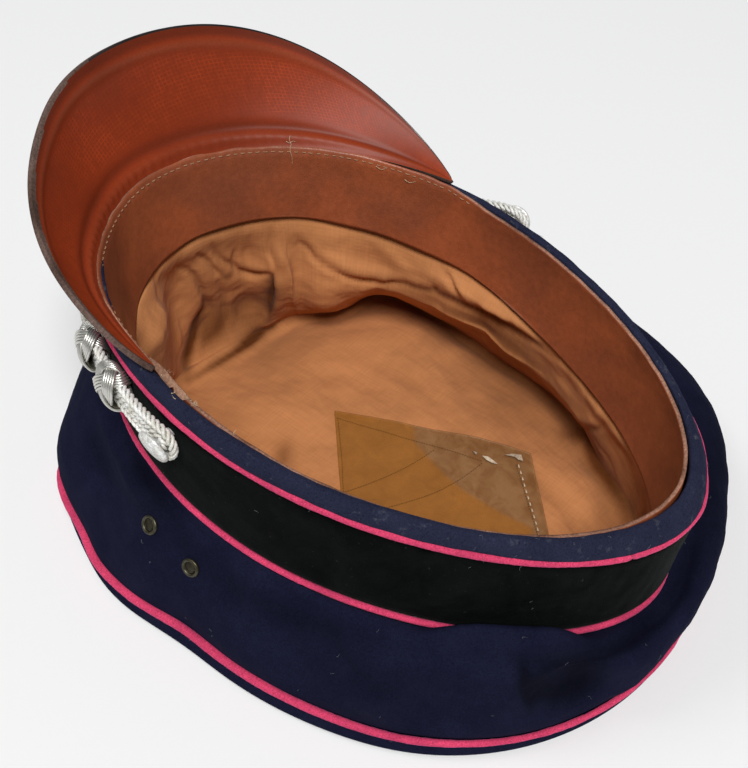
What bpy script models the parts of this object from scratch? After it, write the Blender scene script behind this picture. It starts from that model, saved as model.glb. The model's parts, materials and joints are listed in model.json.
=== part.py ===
"""Officer-style peaked cap, lying upside down on its crown.

Metres, +Z up, the floor at z = 0. The peak points to -Y, and the wearer's right side is +X.
"Lower" and "upper" in the names are as worn: the lower piping is the one by the head opening,
which is the high one while the cap lies on its crown.
A turn is an angle in degrees seen from above, from +X towards +Y.
"""

from math import atan2, cos, degrees, pi, radians, sin, tan

import bmesh
import bpy
from mathutils import Matrix, Vector

# Head opening: the outside of the band, in plan
OPENING_LENGTH = 0.226
OPENING_WIDTH = 0.158
OPENING_EGG = -0.09          # the oval is this share wider at the front than at the back
OVAL_POWER = 1.05            # above 1 makes the ends of the oval a little pointed
BAND_TURN = 9.0              # the soft band sits turned against the peak by this much
RIM_HEIGHT = 0.095           # lower piping above the floor, at the middle of the opening
RIM_PITCH = 8.2              # the front of the rim lies higher than the back
RIM_ROLL = 2.0               # the wearer's right side of the rim lies higher than the left
RIM_WAVE = 0.0015            # the rim rises at the sides and falls at front and back
RIM_FRONT_DIP = 0.0022       # the rim falls this much more behind the peak
RIM_WAVE_LOSS = 0.70         # the share of that wave that is gone at the crown end of the band

# Band and its pipings
BAND_HEIGHT = 0.0443         # lower piping to upper piping
BAND_WALL = 0.0026
BAND_TAPER = 0.0020          # the band is this much smaller all round at the crown
BAND_PROUD = 0.0004          # face of the velvet outside the line of the pipings
PIPING_RADIUS = 0.0014
CLEARANCE = 0.0003           # gap between two pieces that touch in the real cap

# Rolled cloth edge of the opening, sweatband
BINDING_HEIGHT = 0.0062
BINDING_WALL = 0.0040
BINDING_PROUD = 0.0002       # its foot stands this far outside the face of the velvet
BINDING_ROLL = 0.0004        # and its roll this much further
SWEATBAND_DEPTH = 0.040
SWEATBAND_WALL = 0.0013
SWEATBAND_RISE = 0.0016      # its sewn edge stands this far above the rolled cloth by the peak
SWEATBAND_SINK = 0.0010      # and lies this far below it elsewhere
SWEATBAND_LEAN = 0.0045      # its free edge stands this far into the opening
SWEATBAND_SHALLOW = 0.0115   # its free edge lies this much higher at the turn below
SWEATBAND_SHALLOW_TURN = 228.0

# Crown
CROWN_CENTRE = (-0.015, 0.0)  # middle of the crown in plan
CROWN_REACH = 0.120          # from there to the crown piping, times the shares below
CROWN_WALL = 0.0020
EDGE_HEIGHT = 0.0080         # crown piping above the floor, times the shares below
EDGE_PIPING_RADIUS = 0.0017
SIDE_PUFF = 0.0200           # how far the side cloth puffs out, times the shares below
SIDE_FOLD = 0.0060           # depth of the side's folds, times the shares below
TOP_ROLL = 0.0030            # the top panel stands this far outside the crown piping
TOP_FLAT_SHARE = 0.86        # the share of the top panel that lies flat on the floor
SEAM_DROP = 1.30             # the side starts this many piping radii below the upper piping
SEAM_IN = 0.40               # and ends this many radii inside the crown piping
SEAM_UP = 0.95               # and this many above it
FOLD_SLANT = 35.0            # folds push the cloth out along this slope
FOLD_FADE = 5.0              # they fade out over one part in so many at both seams

# Lining and sweat shield
LINING_WALL = 0.0012
LINING_CREASE_HEIGHT = 0.0150
LINING_REACH = 0.0180        # how far the lining opens out beyond the band, times the shares below
LINING_LOBE = 0.0160         # how far the gathered lobes stand in, times the shares below
LINING_DOME = 0.0150         # how far the tip rises above its crease
TIP_SLACK = 1.5              # above 1 the tip lies flatter near its crease
LINING_TUCK = 0.0060         # how far the lining reaches up behind the sweatband
LINING_NECK = 0.0030         # the lining clears the lower edge of the band by this much
LINING_BEND = 0.60           # how late the lining turns outwards below the band
NECK_PLACE = 0.35            # the share of the side lining above that
LOBE_START = 0.12            # the lobes begin here, clear of the sweatband's free edge
LOBE_FADE = 6.0              # they grow over one part in so many
LOBE_AT_CREASE = 0.35        # the share of a lobe that is left at the crease
POCKET_GAP = 0.0006          # slack between the lining and the back of the band
TIP_CENTRE_SHARE = 0.4       # the tip's middle lies this far towards the crown's middle
SHIELD_LENGTH = 0.082
SHIELD_WIDTH = 0.070
SHIELD_LEAN = 17.0           # the shield is a rhomboid, this far from square
SHIELD_TURN = 115.6          # direction of its long edge
SHIELD_CORNER = (-0.008, -0.035)
SHIELD_WALL = 0.0010

# Peak
PEAK_DEPTH = 0.0436
PEAK_WALL = 0.0018
PEAK_FAR_TURN = 191.2        # turn of the horn on the wearer's left, on the band's oval
PEAK_NEAR_TURN = 331.0       # and of the one on the wearer's right
PEAK_SLOPE = 66.0            # slope of the peak from the plane of the rim, at its middle
PEAK_HORN_SLOPE = 21.8
PEAK_SLOPE_TWIST = 3.1       # the slope grows by this much towards the wearer's right
PEAK_FORWARD = 0.47          # 0 spreads the peak square to the rim, 1 points it all forward
PEAK_SKEW = -0.12            # the peak is this share longer on the wearer's left
PEAK_FALL = 2.28             # how late the depth falls off towards the horns
PEAK_BOW = 0.0030            # the peak bows outwards between its root and its edge
PEAK_FALL_SKEW = -0.25       # it falls off this much later on the wearer's right
PEAK_ROUND = 0.76            # below 1 the peak's outline is rounder near the horns
PEAK_BEAD = 0.0010           # height of the pressed bead along the edge
PEAK_BEAD_PLACE = 0.86       # where it runs, as a share of the depth, and half its width
PEAK_BEAD_SPREAD = 0.07
HORN_TIP = 0.0012            # depth left at the tips of the horns
HORN_FADE = 9.0              # the sweatband's sewn edge comes down over this many degrees

# Chin cord, its slides and buttons
CORD_DIAMETER = 0.0046
CORD_SPACING = 0.0056        # between the two runs of the cord
CORD_HEIGHT = -0.0105        # middle of the two runs, from the lower piping
CORD_FAR_RISE = 0.0072       # they lie this much nearer the rim at the wearer's left button
CORD_RISE_TURN = 194.0       # where that rise begins
CORD_PART_TURN = 3.5         # the two runs part over this many degrees by a button
SLIDE_WALL = 0.0028
SLIDE_BACK = 0.45            # the share of that wall behind the cord
SLIDE_SIDES = 10
SLIDE_LENGTH = 0.0120
BUTTON_RADIUS = 0.0063
BUTTON_DOME = 0.0032
BUTTON_SHANK_RADIUS = 0.0016
BUTTON_NEAR_TURN = 336.6
BUTTON_FAR_TURN = 177.5
SLIDE_NEAR_TURNS = (317.0, 325.0)
SLIDE_FAR_TURNS = (199.0, 207.0)

# Vents
VENT_RADIUS = 0.0036         # outside of the metal ring
VENT_HOLE_RADIUS = 0.0016
VENT_BARREL_RADIUS = 0.0021
VENT_FLANGE = 0.0009
VENT_LIFT = 0.0004           # the ring stands this far off the puckered cloth

# How many faces
BAND_STEPS = 52
CROWN_STEPS = 52
PIPING_SIDES = 5

# Crown outline: turn about CROWN_CENTRE, reach as a share of CROWN_REACH,
# edge height as a share of EDGE_HEIGHT, roll of the top panel as a share of TOP_ROLL
CROWN_EDGE_ROWS = (
    # turn, reach, height, roll
    (3, 0.913, 1.00, 1.0),
    (20, 0.925, 1.00, 1.0),
    (40, 0.970, 1.00, 0.8),
    (60, 1.006, 1.00, 0.3),
    (85, 1.018, 1.00, 0.2),
    (110, 1.005, 1.00, 0.2),
    (130, 1.030, 1.05, 0.6),
    (150, 1.055, 1.20, 1.0),
    (170, 1.000, 1.35, 1.0),
    (190, 0.945, 1.35, 1.0),
    (210, 0.958, 1.30, 1.0),
    (230, 1.000, 1.20, 1.0),
    (250, 1.040, 1.10, 1.0),
    (268, 1.035, 1.05, 1.0),
    (285, 1.055, 1.00, 1.0),
    (300, 1.115, 1.00, 0.5),
    (310, 1.150, 1.00, 0.3),
    (323, 1.075, 1.00, 0.6),
    (330, 1.050, 0.95, 0.8),
    (338, 1.004, 1.00, 1.0),
    (350, 0.925, 1.00, 1.0),
)

# Side of the crown, from the band to the crown piping. The cloth leaves the band along
# (shoulder out, shoulder up) and comes to the piping along (edge out, edge up), each as a
# share of SIDE_PUFF
SIDE_ROWS = (
    # turn, shoulder out, shoulder up, edge out, edge up
    (0, 0.30, -0.20, 0.05, 0.60),
    (35, 0.55, 0.10, 0.10, 0.75),
    (55, 0.80, 0.70, 0.20, 0.85),
    (85, 0.80, 0.35, 0.30, 0.95),
    (112, 0.90, 0.35, 0.70, 1.15),
    (150, 1.00, 0.50, 1.35, 1.35),
    (200, 0.90, 0.20, 0.35, 1.00),
    (240, 0.60, 0.00, 0.20, 0.90),
    (275, 0.45, -0.15, 0.25, 0.95),
    (303, 0.55, -0.15, 0.35, 1.10),
    (335, 0.30, -0.30, 0.00, 0.60),
)

# Folds of the crown side: turn and half width in degrees, place between band (0) and edge (1)
# and its half width, depth as a share of SIDE_FOLD, outwards positive
FOLD_ROWS = (
    # turn, half width, place, spread, depth
    (322, 5, 0.35, 0.35, -0.55),
    (331, 6, 0.80, 0.25, -0.45),
    (342, 8, 0.55, 0.30, 0.35),
    (4, 7, 0.70, 0.30, 0.40),
    (16, 6, 0.60, 0.35, -0.60),
    (30, 7, 0.65, 0.30, 0.45),
    (42, 6, 0.70, 0.25, -0.70),
    (60, 12, 0.30, 0.22, 0.60),
    (64, 8, 0.70, 0.22, -0.90),
    (92, 12, 0.40, 0.30, 0.10),
    (150, 10, 0.50, 0.35, -0.50),
    (176, 12, 0.50, 0.35, 0.50),
    (205, 9, 0.55, 0.35, -0.55),
    (232, 11, 0.50, 0.35, 0.40),
    (262, 8, 0.60, 0.30, -0.45),
    (290, 9, 0.50, 0.35, 0.35),
)

# Lining crease, where the side of the lining meets its tip: turn on the band's oval,
# reach beyond the oval as a share of LINING_REACH
CREASE_ROWS = (
    # turn, reach
    (0, 0.50),
    (60, 0.35),
    (110, 0.20),
    (150, 0.40),
    (180, 0.85),
    (205, 1.00),
    (225, 0.35),
    (245, -0.25),
    (262, -0.55),
    (285, -0.30),
    (320, 0.25),
)

# Gathered lobes of the lining by the peak: turn and half width in degrees, place down the
# side (0 at the sweatband, 1 at the crease) and its half width, depth as a share of
# LINING_LOBE, inwards positive
LOBE_ROWS = (
    # turn, half width, place, spread, depth
    (212, 9, 0.40, 0.35, 0.40),
    (229, 7, 0.45, 0.35, 0.75),
    (243, 4, 0.55, 0.30, 0.20),
    (254, 7, 0.45, 0.35, 0.80),
    (272, 7, 0.45, 0.35, 0.95),
    (287, 4, 0.55, 0.30, 0.30),
    (300, 8, 0.45, 0.35, 0.75),
    (190, 6, 0.55, 0.30, 0.20),
    (168, 6, 0.60, 0.30, 0.25),
    (140, 7, 0.55, 0.30, 0.20),
)

# Section of the top panel from below its seam inwards: reach outside the piping as a share of
# the roll there, height as a share of the piping's height
TOP_SECTION_ROWS = (
    # reach, height
    (0.75, 0.56),
    (1.00, 0.36),
    (0.70, 0.16),
    (-0.60, 0.04),
)

# Section of the rolled edge: height as a share of BINDING_HEIGHT, roll as a share of
# BINDING_ROLL, and how far in as a share of BINDING_WALL
BINDING_ROWS = (
    # height, roll, inwards
    (0.00, 0.0, 0.00),
    (0.35, 1.0, 0.00),
    (0.75, 0.0, 0.10),
    (1.00, 0.0, 0.45),
    (0.94, 0.0, 1.00),
    (0.00, 0.0, 1.00),
)

# Section of the sweatband: share of its depth from the sewn edge, share of SWEATBAND_LEAN
SWEATBAND_ROWS = (
    # depth, lean
    (0.00, 0.00),
    (0.15, 0.10),
    (0.55, 0.55),
    (1.00, 1.00),
)

# Barrel of a slide: place along it as a share of SLIDE_LENGTH, thickness as a share of
# SLIDE_WALL
SLIDE_ROWS = (
    # along, wall
    (-0.50, 0.30),
    (-0.30, 1.00),
    (0.30, 1.00),
    (0.50, 0.30),
    (0.45, 0.00),
    (-0.45, 0.00),
)

# Head of a button: reach as a share of BUTTON_RADIUS, height as a share of BUTTON_DOME
BUTTON_ROWS = (
    # reach, height
    (0.92, 0.00),
    (1.00, 0.16),
    (0.90, 0.45),
    (0.55, 0.88),
)

# Vents: turn about CROWN_CENTRE and place between band and edge
VENT_ROWS = (
    # name, turn, place
    ("vent_right_front", 339.0, 0.34),
    ("vent_right_rear", 349.5, 0.42),
    ("vent_left_rear", 168.0, 0.60),
    ("vent_left_front", 182.0, 0.60),
)

# name: colour, roughness, metallic
FINISHES = {
    "navy_wool": ((0.016, 0.019, 0.062, 1.0), 0.95, 0.0),
    "pink_wool": ((0.80, 0.055, 0.23, 1.0), 0.85, 0.0),
    "black_velvet": ((0.006, 0.007, 0.009, 1.0), 0.98, 0.0),
    "brown_leather": ((0.155, 0.045, 0.022, 1.0), 0.50, 0.0),
    "tan_cotton": ((0.36, 0.165, 0.060, 1.0), 0.90, 0.0),
    "clear_celluloid": ((0.36, 0.17, 0.045, 1.0), 0.20, 0.0),
    "red_fibre": ((0.27, 0.058, 0.022, 1.0), 0.45, 0.0),
    "silver_cord": ((0.62, 0.61, 0.57, 1.0), 0.45, 0.6),
    "silver_button": ((0.75, 0.75, 0.74, 1.0), 0.40, 0.7),
    "aged_metal": ((0.16, 0.16, 0.14, 1.0), 0.45, 0.8),
}


def clear_scene():
    """Remove every object that the file starts with."""
    for item in list(bpy.data.objects):
        bpy.data.objects.remove(item, do_unlink=True)


def finish(name):
    """Return the material of that name, made once."""
    material = bpy.data.materials.get(name)
    if material is None:
        colour, roughness, metallic = FINISHES[name]
        material = bpy.data.materials.new(name)
        material.use_nodes = True
        shader = material.node_tree.nodes["Principled BSDF"]
        shader.inputs["Base Color"].default_value = colour
        shader.inputs["Roughness"].default_value = roughness
        shader.inputs["Metallic"].default_value = metallic
        material.diffuse_color = colour
    return material


def turns(steps):
    """Equal turns round a full circle, in degrees."""
    return [360.0 * step / steps for step in range(steps)]


def read_rows(rows, turn, column):
    """Read a column of a table at any turn: a smooth closed curve through its rows."""
    count = len(rows)
    turn %= 360.0
    index = max([i for i in range(count) if rows[i][0] <= turn], default=count - 1)
    places = []
    values = []
    for step in (-1, 0, 1, 2):
        wraps, at = divmod(index + step, count)
        places.append(rows[at][0] + 360.0 * wraps)
        values.append(rows[at][column])
    if places[1] - turn > 0.0:
        turn += 360.0
    while turn - places[1] >= 360.0:
        turn -= 360.0
    span = places[2] - places[1]
    share = (turn - places[1]) / span
    slope_in = (values[2] - values[0]) / (places[2] - places[0]) * span
    slope_out = (values[3] - values[1]) / (places[3] - places[1]) * span
    square = share * share
    cube = square * share
    return ((2 * cube - 3 * square + 1) * values[1] + (cube - 2 * square + share) * slope_in
            + (3 * square - 2 * cube) * values[2] + (cube - square) * slope_out)


def turn_gap(one, other):
    """Signed smallest difference between two turns, in degrees."""
    return (one - other + 180.0) % 360.0 - 180.0


def soft_bump(gap, half_width):
    """A smooth hump: 1 at no gap, nearly 0 beyond twice the half width."""
    return 2.0 ** (-(gap / half_width) ** 2)


def sum_bumps(rows, turn, place):
    """Sum of a table of folds at one point of a cloth wall."""
    return sum(depth * soft_bump(turn_gap(turn, at), width) * soft_bump(place - height, spread)
               for at, width, height, spread, depth in rows)


def oval_point(turn, offset=0.0):
    """Plan point on the band's oval, moved outwards by offset."""
    c = cos(radians(turn))
    s = sin(radians(turn))
    x = (OPENING_WIDTH / 2 + offset) * (1 if c > 0 else -1) * abs(c) ** OVAL_POWER
    y = (OPENING_LENGTH / 2 + offset) * (1 if s > 0 else -1) * abs(s) ** OVAL_POWER
    return Matrix.Rotation(radians(BAND_TURN), 2) @ Vector((x * (1 + OPENING_EGG * s), y))


def oval_normal(turn):
    """Outward direction in plan, square to the band's oval."""
    step = 0.5
    along = oval_point(turn + step) - oval_point(turn - step)
    return Vector((along.y, -along.x)).normalized()


def rim_lift(point):
    """Height that the tilt of the rim adds at a plan point."""
    return point.x * tan(radians(RIM_ROLL)) - point.y * tan(radians(RIM_PITCH))


def rim_wave(turn):
    """Height that the wave of the rim adds."""
    s = sin(radians(turn))
    return RIM_WAVE * cos(radians(2 * turn)) - RIM_FRONT_DIP * max(-s, 0.0) ** 2


def rim_point(turn, height, offset):
    """Point of the band: height above the lower piping, offset outwards from its line."""
    plan = oval_point(turn, offset)
    kept = 1.0 - RIM_WAVE_LOSS * min(max(-height / BAND_HEIGHT, 0.0), 1.0)
    return Vector((plan.x, plan.y, RIM_HEIGHT + height + rim_lift(plan) + kept * rim_wave(turn)))


def band_offset(height):
    """Line of the pipings between the two: the band narrows towards the crown."""
    return -BAND_TAPER * min(max(-height / BAND_HEIGHT, 0.0), 1.0)


def crown_turn(point):
    """Turn of a point about the middle of the crown."""
    return degrees(atan2(point.y - CROWN_CENTRE[1], point.x - CROWN_CENTRE[0])) % 360.0


def crown_point(turn, reach, height):
    """Point at a turn and a reach about the middle of the crown."""
    return Vector((CROWN_CENTRE[0] + reach * cos(radians(turn)),
                   CROWN_CENTRE[1] + reach * sin(radians(turn)), height))


def edge_reach(turn):
    """Reach of the crown piping."""
    return CROWN_REACH * read_rows(CROWN_EDGE_ROWS, turn, 1)


def edge_height(turn):
    """Height of the crown piping above the floor."""
    return EDGE_HEIGHT * read_rows(CROWN_EDGE_ROWS, turn, 2)


def edge_roll(turn):
    """How far the top panel stands outside the crown piping."""
    return TOP_ROLL * read_rows(CROWN_EDGE_ROWS, turn, 3)


def side_point(oval_turn, place):
    """Outer face of the crown side: place 0 is at the band, 1 at the crown piping."""
    drop = SEAM_DROP * (PIPING_RADIUS + CLEARANCE)
    top = rim_point(oval_turn, -BAND_HEIGHT - drop, -BAND_TAPER)
    turn = crown_turn(top)
    out = Vector((cos(radians(turn)), sin(radians(turn)), 0.0))
    up = Vector((0.0, 0.0, 1.0))
    seam = EDGE_PIPING_RADIUS + CLEARANCE
    low = crown_point(turn, edge_reach(turn) - SEAM_IN * seam,
                      edge_height(turn) + SEAM_UP * seam)
    lead = [SIDE_PUFF * read_rows(SIDE_ROWS, turn, column) for column in (1, 2, 3, 4)]
    near_band = top + out * lead[0] + up * lead[1]
    near_edge = low + out * lead[2] + up * lead[3]
    rest = 1.0 - place
    point = (top * rest ** 3 + near_band * 3 * rest ** 2 * place
             + near_edge * 3 * rest * place ** 2 + low * place ** 3)
    hold = min(1.0, FOLD_FADE * place, FOLD_FADE * rest)
    fold = SIDE_FOLD * sum_bumps(FOLD_ROWS, turn, place) * hold
    slant = radians(FOLD_SLANT)
    return point + (out * cos(slant) + up * sin(slant)) * fold


def crown_side_turn(turn):
    """Turn on the band's oval of the side point that lies at a turn about the crown."""
    guess = turn
    for _ in range(12):
        top = rim_point(guess, -BAND_HEIGHT, -BAND_TAPER)
        guess += turn_gap(turn, crown_turn(top))
    return guess


def crease_point(turn):
    """Crease between the side of the lining and its tip."""
    reach = LINING_REACH * read_rows(CREASE_ROWS, turn, 1)
    plan = oval_point(turn) + oval_normal(turn) * reach
    return Vector((plan.x, plan.y, LINING_CREASE_HEIGHT))


def lining_point(turn, place):
    """Face of the side lining towards the head: place 0 behind the sweatband, 1 at the crease."""
    pocket = band_offset(-BAND_HEIGHT) + BAND_PROUD - BAND_WALL - POCKET_GAP - LINING_WALL
    top = rim_point(turn, sweatband_free_edge(turn) + LINING_TUCK, pocket)
    neck = rim_point(turn, -BAND_HEIGHT - LINING_NECK, pocket)
    low = crease_point(turn)
    if place < NECK_PLACE:
        point = top.lerp(neck, place / NECK_PLACE)
    else:
        share = (place - NECK_PLACE) / (1 - NECK_PLACE)
        bend = neck.lerp(Vector((neck.x, neck.y, low.z)), LINING_BEND)
        point = neck.lerp(bend, share).lerp(bend.lerp(low, share), share)
    lobe = LINING_LOBE * sum_bumps(LOBE_ROWS, turn, place)
    hold = min(1.0, LOBE_FADE * (place - LOBE_START), LOBE_AT_CREASE + LOBE_FADE * (1 - place))
    return point - oval_normal(turn).to_3d() * lobe * max(hold, 0.0)


def tip_centre():
    """Middle of the lining's tip, in plan."""
    return Vector(CROWN_CENTRE) * TIP_CENTRE_SHARE


def tip_rise(share):
    """Height of the tip above its crease: share 0 at its middle, 1 at the crease."""
    return LINING_DOME * (1 - share ** 2) ** TIP_SLACK


def tip_height(plan):
    """Height of the tip of the lining above the floor, at a plan point."""
    centre = tip_centre()
    arm = plan - centre
    if arm.length < CLEARANCE:
        return LINING_CREASE_HEIGHT - CLEARANCE + tip_rise(0.0)
    heading = degrees(atan2(arm.y, arm.x))
    turn = heading
    for _ in range(8):
        edge = lining_point(turn, 1.0).to_2d() - centre
        turn += turn_gap(heading, degrees(atan2(edge.y, edge.x)))
    edge = lining_point(turn, 1.0).to_2d() - centre
    share = min(arm.length / edge.length, 1.0)
    return LINING_CREASE_HEIGHT - CLEARANCE + tip_rise(share)


def build_object(name, bm, material, smooth_angle=35.0):
    """Turn a mesh under construction into a named object with its material."""
    mesh = bpy.data.meshes.new(name)
    bm.to_mesh(mesh)
    bm.free()
    mesh.shade_smooth()
    mesh.set_sharp_from_angle(angle=radians(smooth_angle))
    item = bpy.data.objects.new(name, mesh)
    mesh.materials.append(finish(material))
    bpy.context.scene.collection.objects.link(item)
    return item


def skin_rings(bm, rings, close_rows=False, cap_last=False):
    """Lay a skin of faces through rings of points, each ring a closed loop."""
    loops = [[bm.verts.new(point) for point in ring] for ring in rings]
    pairs = list(zip(loops, loops[1:]))
    if close_rows:
        pairs.append((loops[-1], loops[0]))
    for one, other in pairs:
        for index in range(len(one)):
            after = (index + 1) % len(one)
            bm.faces.new((one[index], one[after], other[after], other[index]))
    if cap_last:
        last = loops[-1]
        middle = bm.verts.new(sum((vert.co for vert in last), Vector()) / len(last))
        for index in range(len(last)):
            bm.faces.new((last[index], last[(index + 1) % len(last)], middle))
    return loops


def face_out(bm):
    """Point the faces of a closed body outwards."""
    bmesh.ops.recalc_face_normals(bm, faces=bm.faces[:])


def thicken(item, wall, side):
    """Give a skin its wall: side -1 grows it behind its faces, 1 in front."""
    solid = item.modifiers.new("wall", "SOLIDIFY")
    solid.thickness = wall
    solid.offset = side
    solid.use_even_offset = True
    solid.use_quality_normals = True


def ring_section(turn, section):
    """One slice of a ring that follows the band: (height, offset) points."""
    return [rim_point(turn, height, offset) for height, offset in section]


def make_band_ring(name, sections, material, steps=BAND_STEPS):
    """Make a closed ring along the band: sections(turn) gives a slice as points."""
    bm = bmesh.new()
    slices = [sections(turn) for turn in turns(steps)]
    rings = [[one[index] for one in slices] for index in range(len(slices[0]))]
    skin_rings(bm, rings, close_rows=True)
    face_out(bm)
    return build_object(name, bm, material)


def round_section(turn, height, offset, radius, sides=PIPING_SIDES):
    """Slice of a round cord that follows the band."""
    centre = rim_point(turn, height, offset)
    out = oval_normal(turn).to_3d()
    slice_points = []
    for side in range(sides):
        angle = 2 * pi * (side + 0.5) / sides
        slice_points.append(centre + out * radius * cos(angle)
                            + Vector((0, 0, radius * sin(angle))))
    return slice_points


def make_band():
    """Black velvet band between the two pipings."""
    top = -PIPING_RADIUS - CLEARANCE
    bottom = -BAND_HEIGHT + PIPING_RADIUS + CLEARANCE
    heights = [top, (top + bottom) / 2, bottom]

    def sections(turn):
        outer = [rim_point(turn, h, band_offset(h) + BAND_PROUD) for h in heights]
        inner = [rim_point(turn, h, band_offset(h) + BAND_PROUD - BAND_WALL)
                 for h in reversed(heights)]
        return outer + inner

    return make_band_ring("band", sections, "black_velvet")


def make_band_pipings():
    """Pink pipings along both edges of the band."""
    rows = (("band_piping_lower", 0.0, 0.0), ("band_piping_upper", -BAND_HEIGHT, -BAND_TAPER))
    for name, height, offset in rows:
        make_band_ring(name, lambda turn: round_section(turn, height, offset, PIPING_RADIUS),
                       "pink_wool")


def binding_top():
    """Height of the rolled cloth edge above the lower piping."""
    return PIPING_RADIUS + CLEARANCE + BINDING_HEIGHT


def make_rim_binding():
    """Rolled navy cloth edge of the opening, between the lower piping and the sweatband."""
    low = PIPING_RADIUS + CLEARANCE
    outer = BAND_PROUD + BINDING_PROUD
    section = [(low + height * BINDING_HEIGHT,
                outer + roll * BINDING_ROLL - inwards * BINDING_WALL)
               for height, roll, inwards in BINDING_ROWS]
    return make_band_ring("rim_binding", lambda turn: ring_section(turn, section), "navy_wool")


def sweatband_offset():
    """Outer face of the sweatband, clear of the band and the rolled edge."""
    return BAND_PROUD + BINDING_PROUD - BINDING_WALL - CLEARANCE


def peak_share(turn):
    """1 along the root of the peak, falling to 0 beyond its horns."""
    middle = (PEAK_FAR_TURN + PEAK_NEAR_TURN) / 2
    half = (PEAK_NEAR_TURN - PEAK_FAR_TURN) / 2
    beyond = (abs(turn_gap(turn, middle)) - half) / HORN_FADE
    return 1.0 - min(max(beyond, 0.0), 1.0)


def sweatband_top(turn):
    """Height of the sewn edge of the sweatband above the lower piping."""
    share = peak_share(turn)
    return binding_top() + SWEATBAND_RISE * share - SWEATBAND_SINK * (1.0 - share)


def sweatband_free_edge(turn):
    """Height of the free edge of the sweatband, from the lower piping."""
    high = max(cos(radians(turn - SWEATBAND_SHALLOW_TURN)), 0.0) ** 2
    return binding_top() - SWEATBAND_DEPTH + SWEATBAND_SHALLOW * high


def make_sweatband():
    """Leather sweatband, sewn along the rim and free along its deep edge."""
    def sections(turn):
        outer = []
        inner = []
        top = sweatband_top(turn)
        for share, lean in SWEATBAND_ROWS:
            height = top + share * (sweatband_free_edge(turn) - top)
            offset = sweatband_offset() + band_offset(height) - lean * SWEATBAND_LEAN
            outer.append(rim_point(turn, height, offset))
            inner.append(rim_point(turn, height, offset - SWEATBAND_WALL))
        return outer + inner[::-1]

    return make_band_ring("sweatband", sections, "brown_leather")


def make_crown_side():
    """Side of the crown, soft and folded, with a hole for each vent."""
    places = [0.0, 0.12, 0.28, 0.45, 0.62, 0.79, 0.91, 1.0]
    oval_turns = [crown_side_turn(turn) for turn in turns(CROWN_STEPS)]
    bm = bmesh.new()
    skin_rings(bm, [[side_point(turn, place) for turn in oval_turns] for place in places])
    bmesh.ops.reverse_faces(bm, faces=bm.faces[:])
    item = build_object("crown_side", bm, "navy_wool", 60.0)
    thicken(item, CROWN_WALL, -1)
    for name, turn, place in VENT_ROWS:
        cutter = make_vent_cutter(name, turn, place)
        cut = item.modifiers.new(name, "BOOLEAN")
        cut.operation = "DIFFERENCE"
        cut.solver = "EXACT"
        cut.object = cutter
    return item


def make_crown_piping():
    """Pink piping along the edge of the crown."""
    bm = bmesh.new()
    slices = []
    for turn in turns(CROWN_STEPS):
        centre = crown_point(turn, edge_reach(turn), edge_height(turn))
        out = Vector((cos(radians(turn)), sin(radians(turn)), 0.0))
        slices.append([centre + (out * cos(angle) + Vector((0, 0, sin(angle)))) * EDGE_PIPING_RADIUS
                       for angle in [2 * pi * (side + 0.5) / PIPING_SIDES
                                     for side in range(PIPING_SIDES)]])
    skin_rings(bm, [[one[index] for one in slices] for index in range(PIPING_SIDES)],
               close_rows=True)
    face_out(bm)
    return build_object("crown_piping", bm, "pink_wool")


def make_crown_top():
    """Top panel, flat on the floor, rolled up to the crown piping at its edge."""
    seam = EDGE_PIPING_RADIUS + CLEARANCE
    rings = [[crown_point(turn, edge_reach(turn), edge_height(turn) - seam)
              for turn in turns(CROWN_STEPS)]]
    for reach, height in TOP_SECTION_ROWS:
        rings.append([crown_point(turn, edge_reach(turn) + reach * edge_roll(turn),
                                  height * edge_height(turn)) for turn in turns(CROWN_STEPS)])
    rings.append([crown_point(turn, TOP_FLAT_SHARE * edge_reach(turn), 0.0)
                  for turn in turns(CROWN_STEPS)])
    bm = bmesh.new()
    skin_rings(bm, rings, cap_last=True)
    bmesh.ops.reverse_faces(bm, faces=bm.faces[:])
    item = build_object("crown_top", bm, "navy_wool", 60.0)
    thicken(item, CROWN_WALL, -1)
    return item


def make_lining_side():
    """Side of the lining: loose cotton that hangs from behind the sweatband."""
    places = [0.0, 0.20, 0.36, 0.52, 0.68, 0.84, 1.0]
    bm = bmesh.new()
    skin_rings(bm, [[lining_point(turn, place) for turn in turns(CROWN_STEPS)]
                    for place in places])
    item = build_object("lining_side", bm, "tan_cotton", 60.0)
    thicken(item, LINING_WALL, -1)
    return item


def make_lining_tip():
    """Tip of the lining, a loose dome inside the crown."""
    centre = tip_centre()
    rings = []
    for share in (1.0, 0.75, 0.40):
        ring = []
        for turn in turns(CROWN_STEPS):
            plan = centre.lerp(lining_point(turn, 1.0).to_2d(), share)
            height = LINING_CREASE_HEIGHT - CLEARANCE + tip_rise(share)
            ring.append(Vector((plan.x, plan.y, height)))
        rings.append(ring)
    bm = bmesh.new()
    skin_rings(bm, rings, cap_last=True)
    item = build_object("lining_tip", bm, "tan_cotton", 60.0)
    thicken(item, LINING_WALL, -1)
    return item


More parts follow.
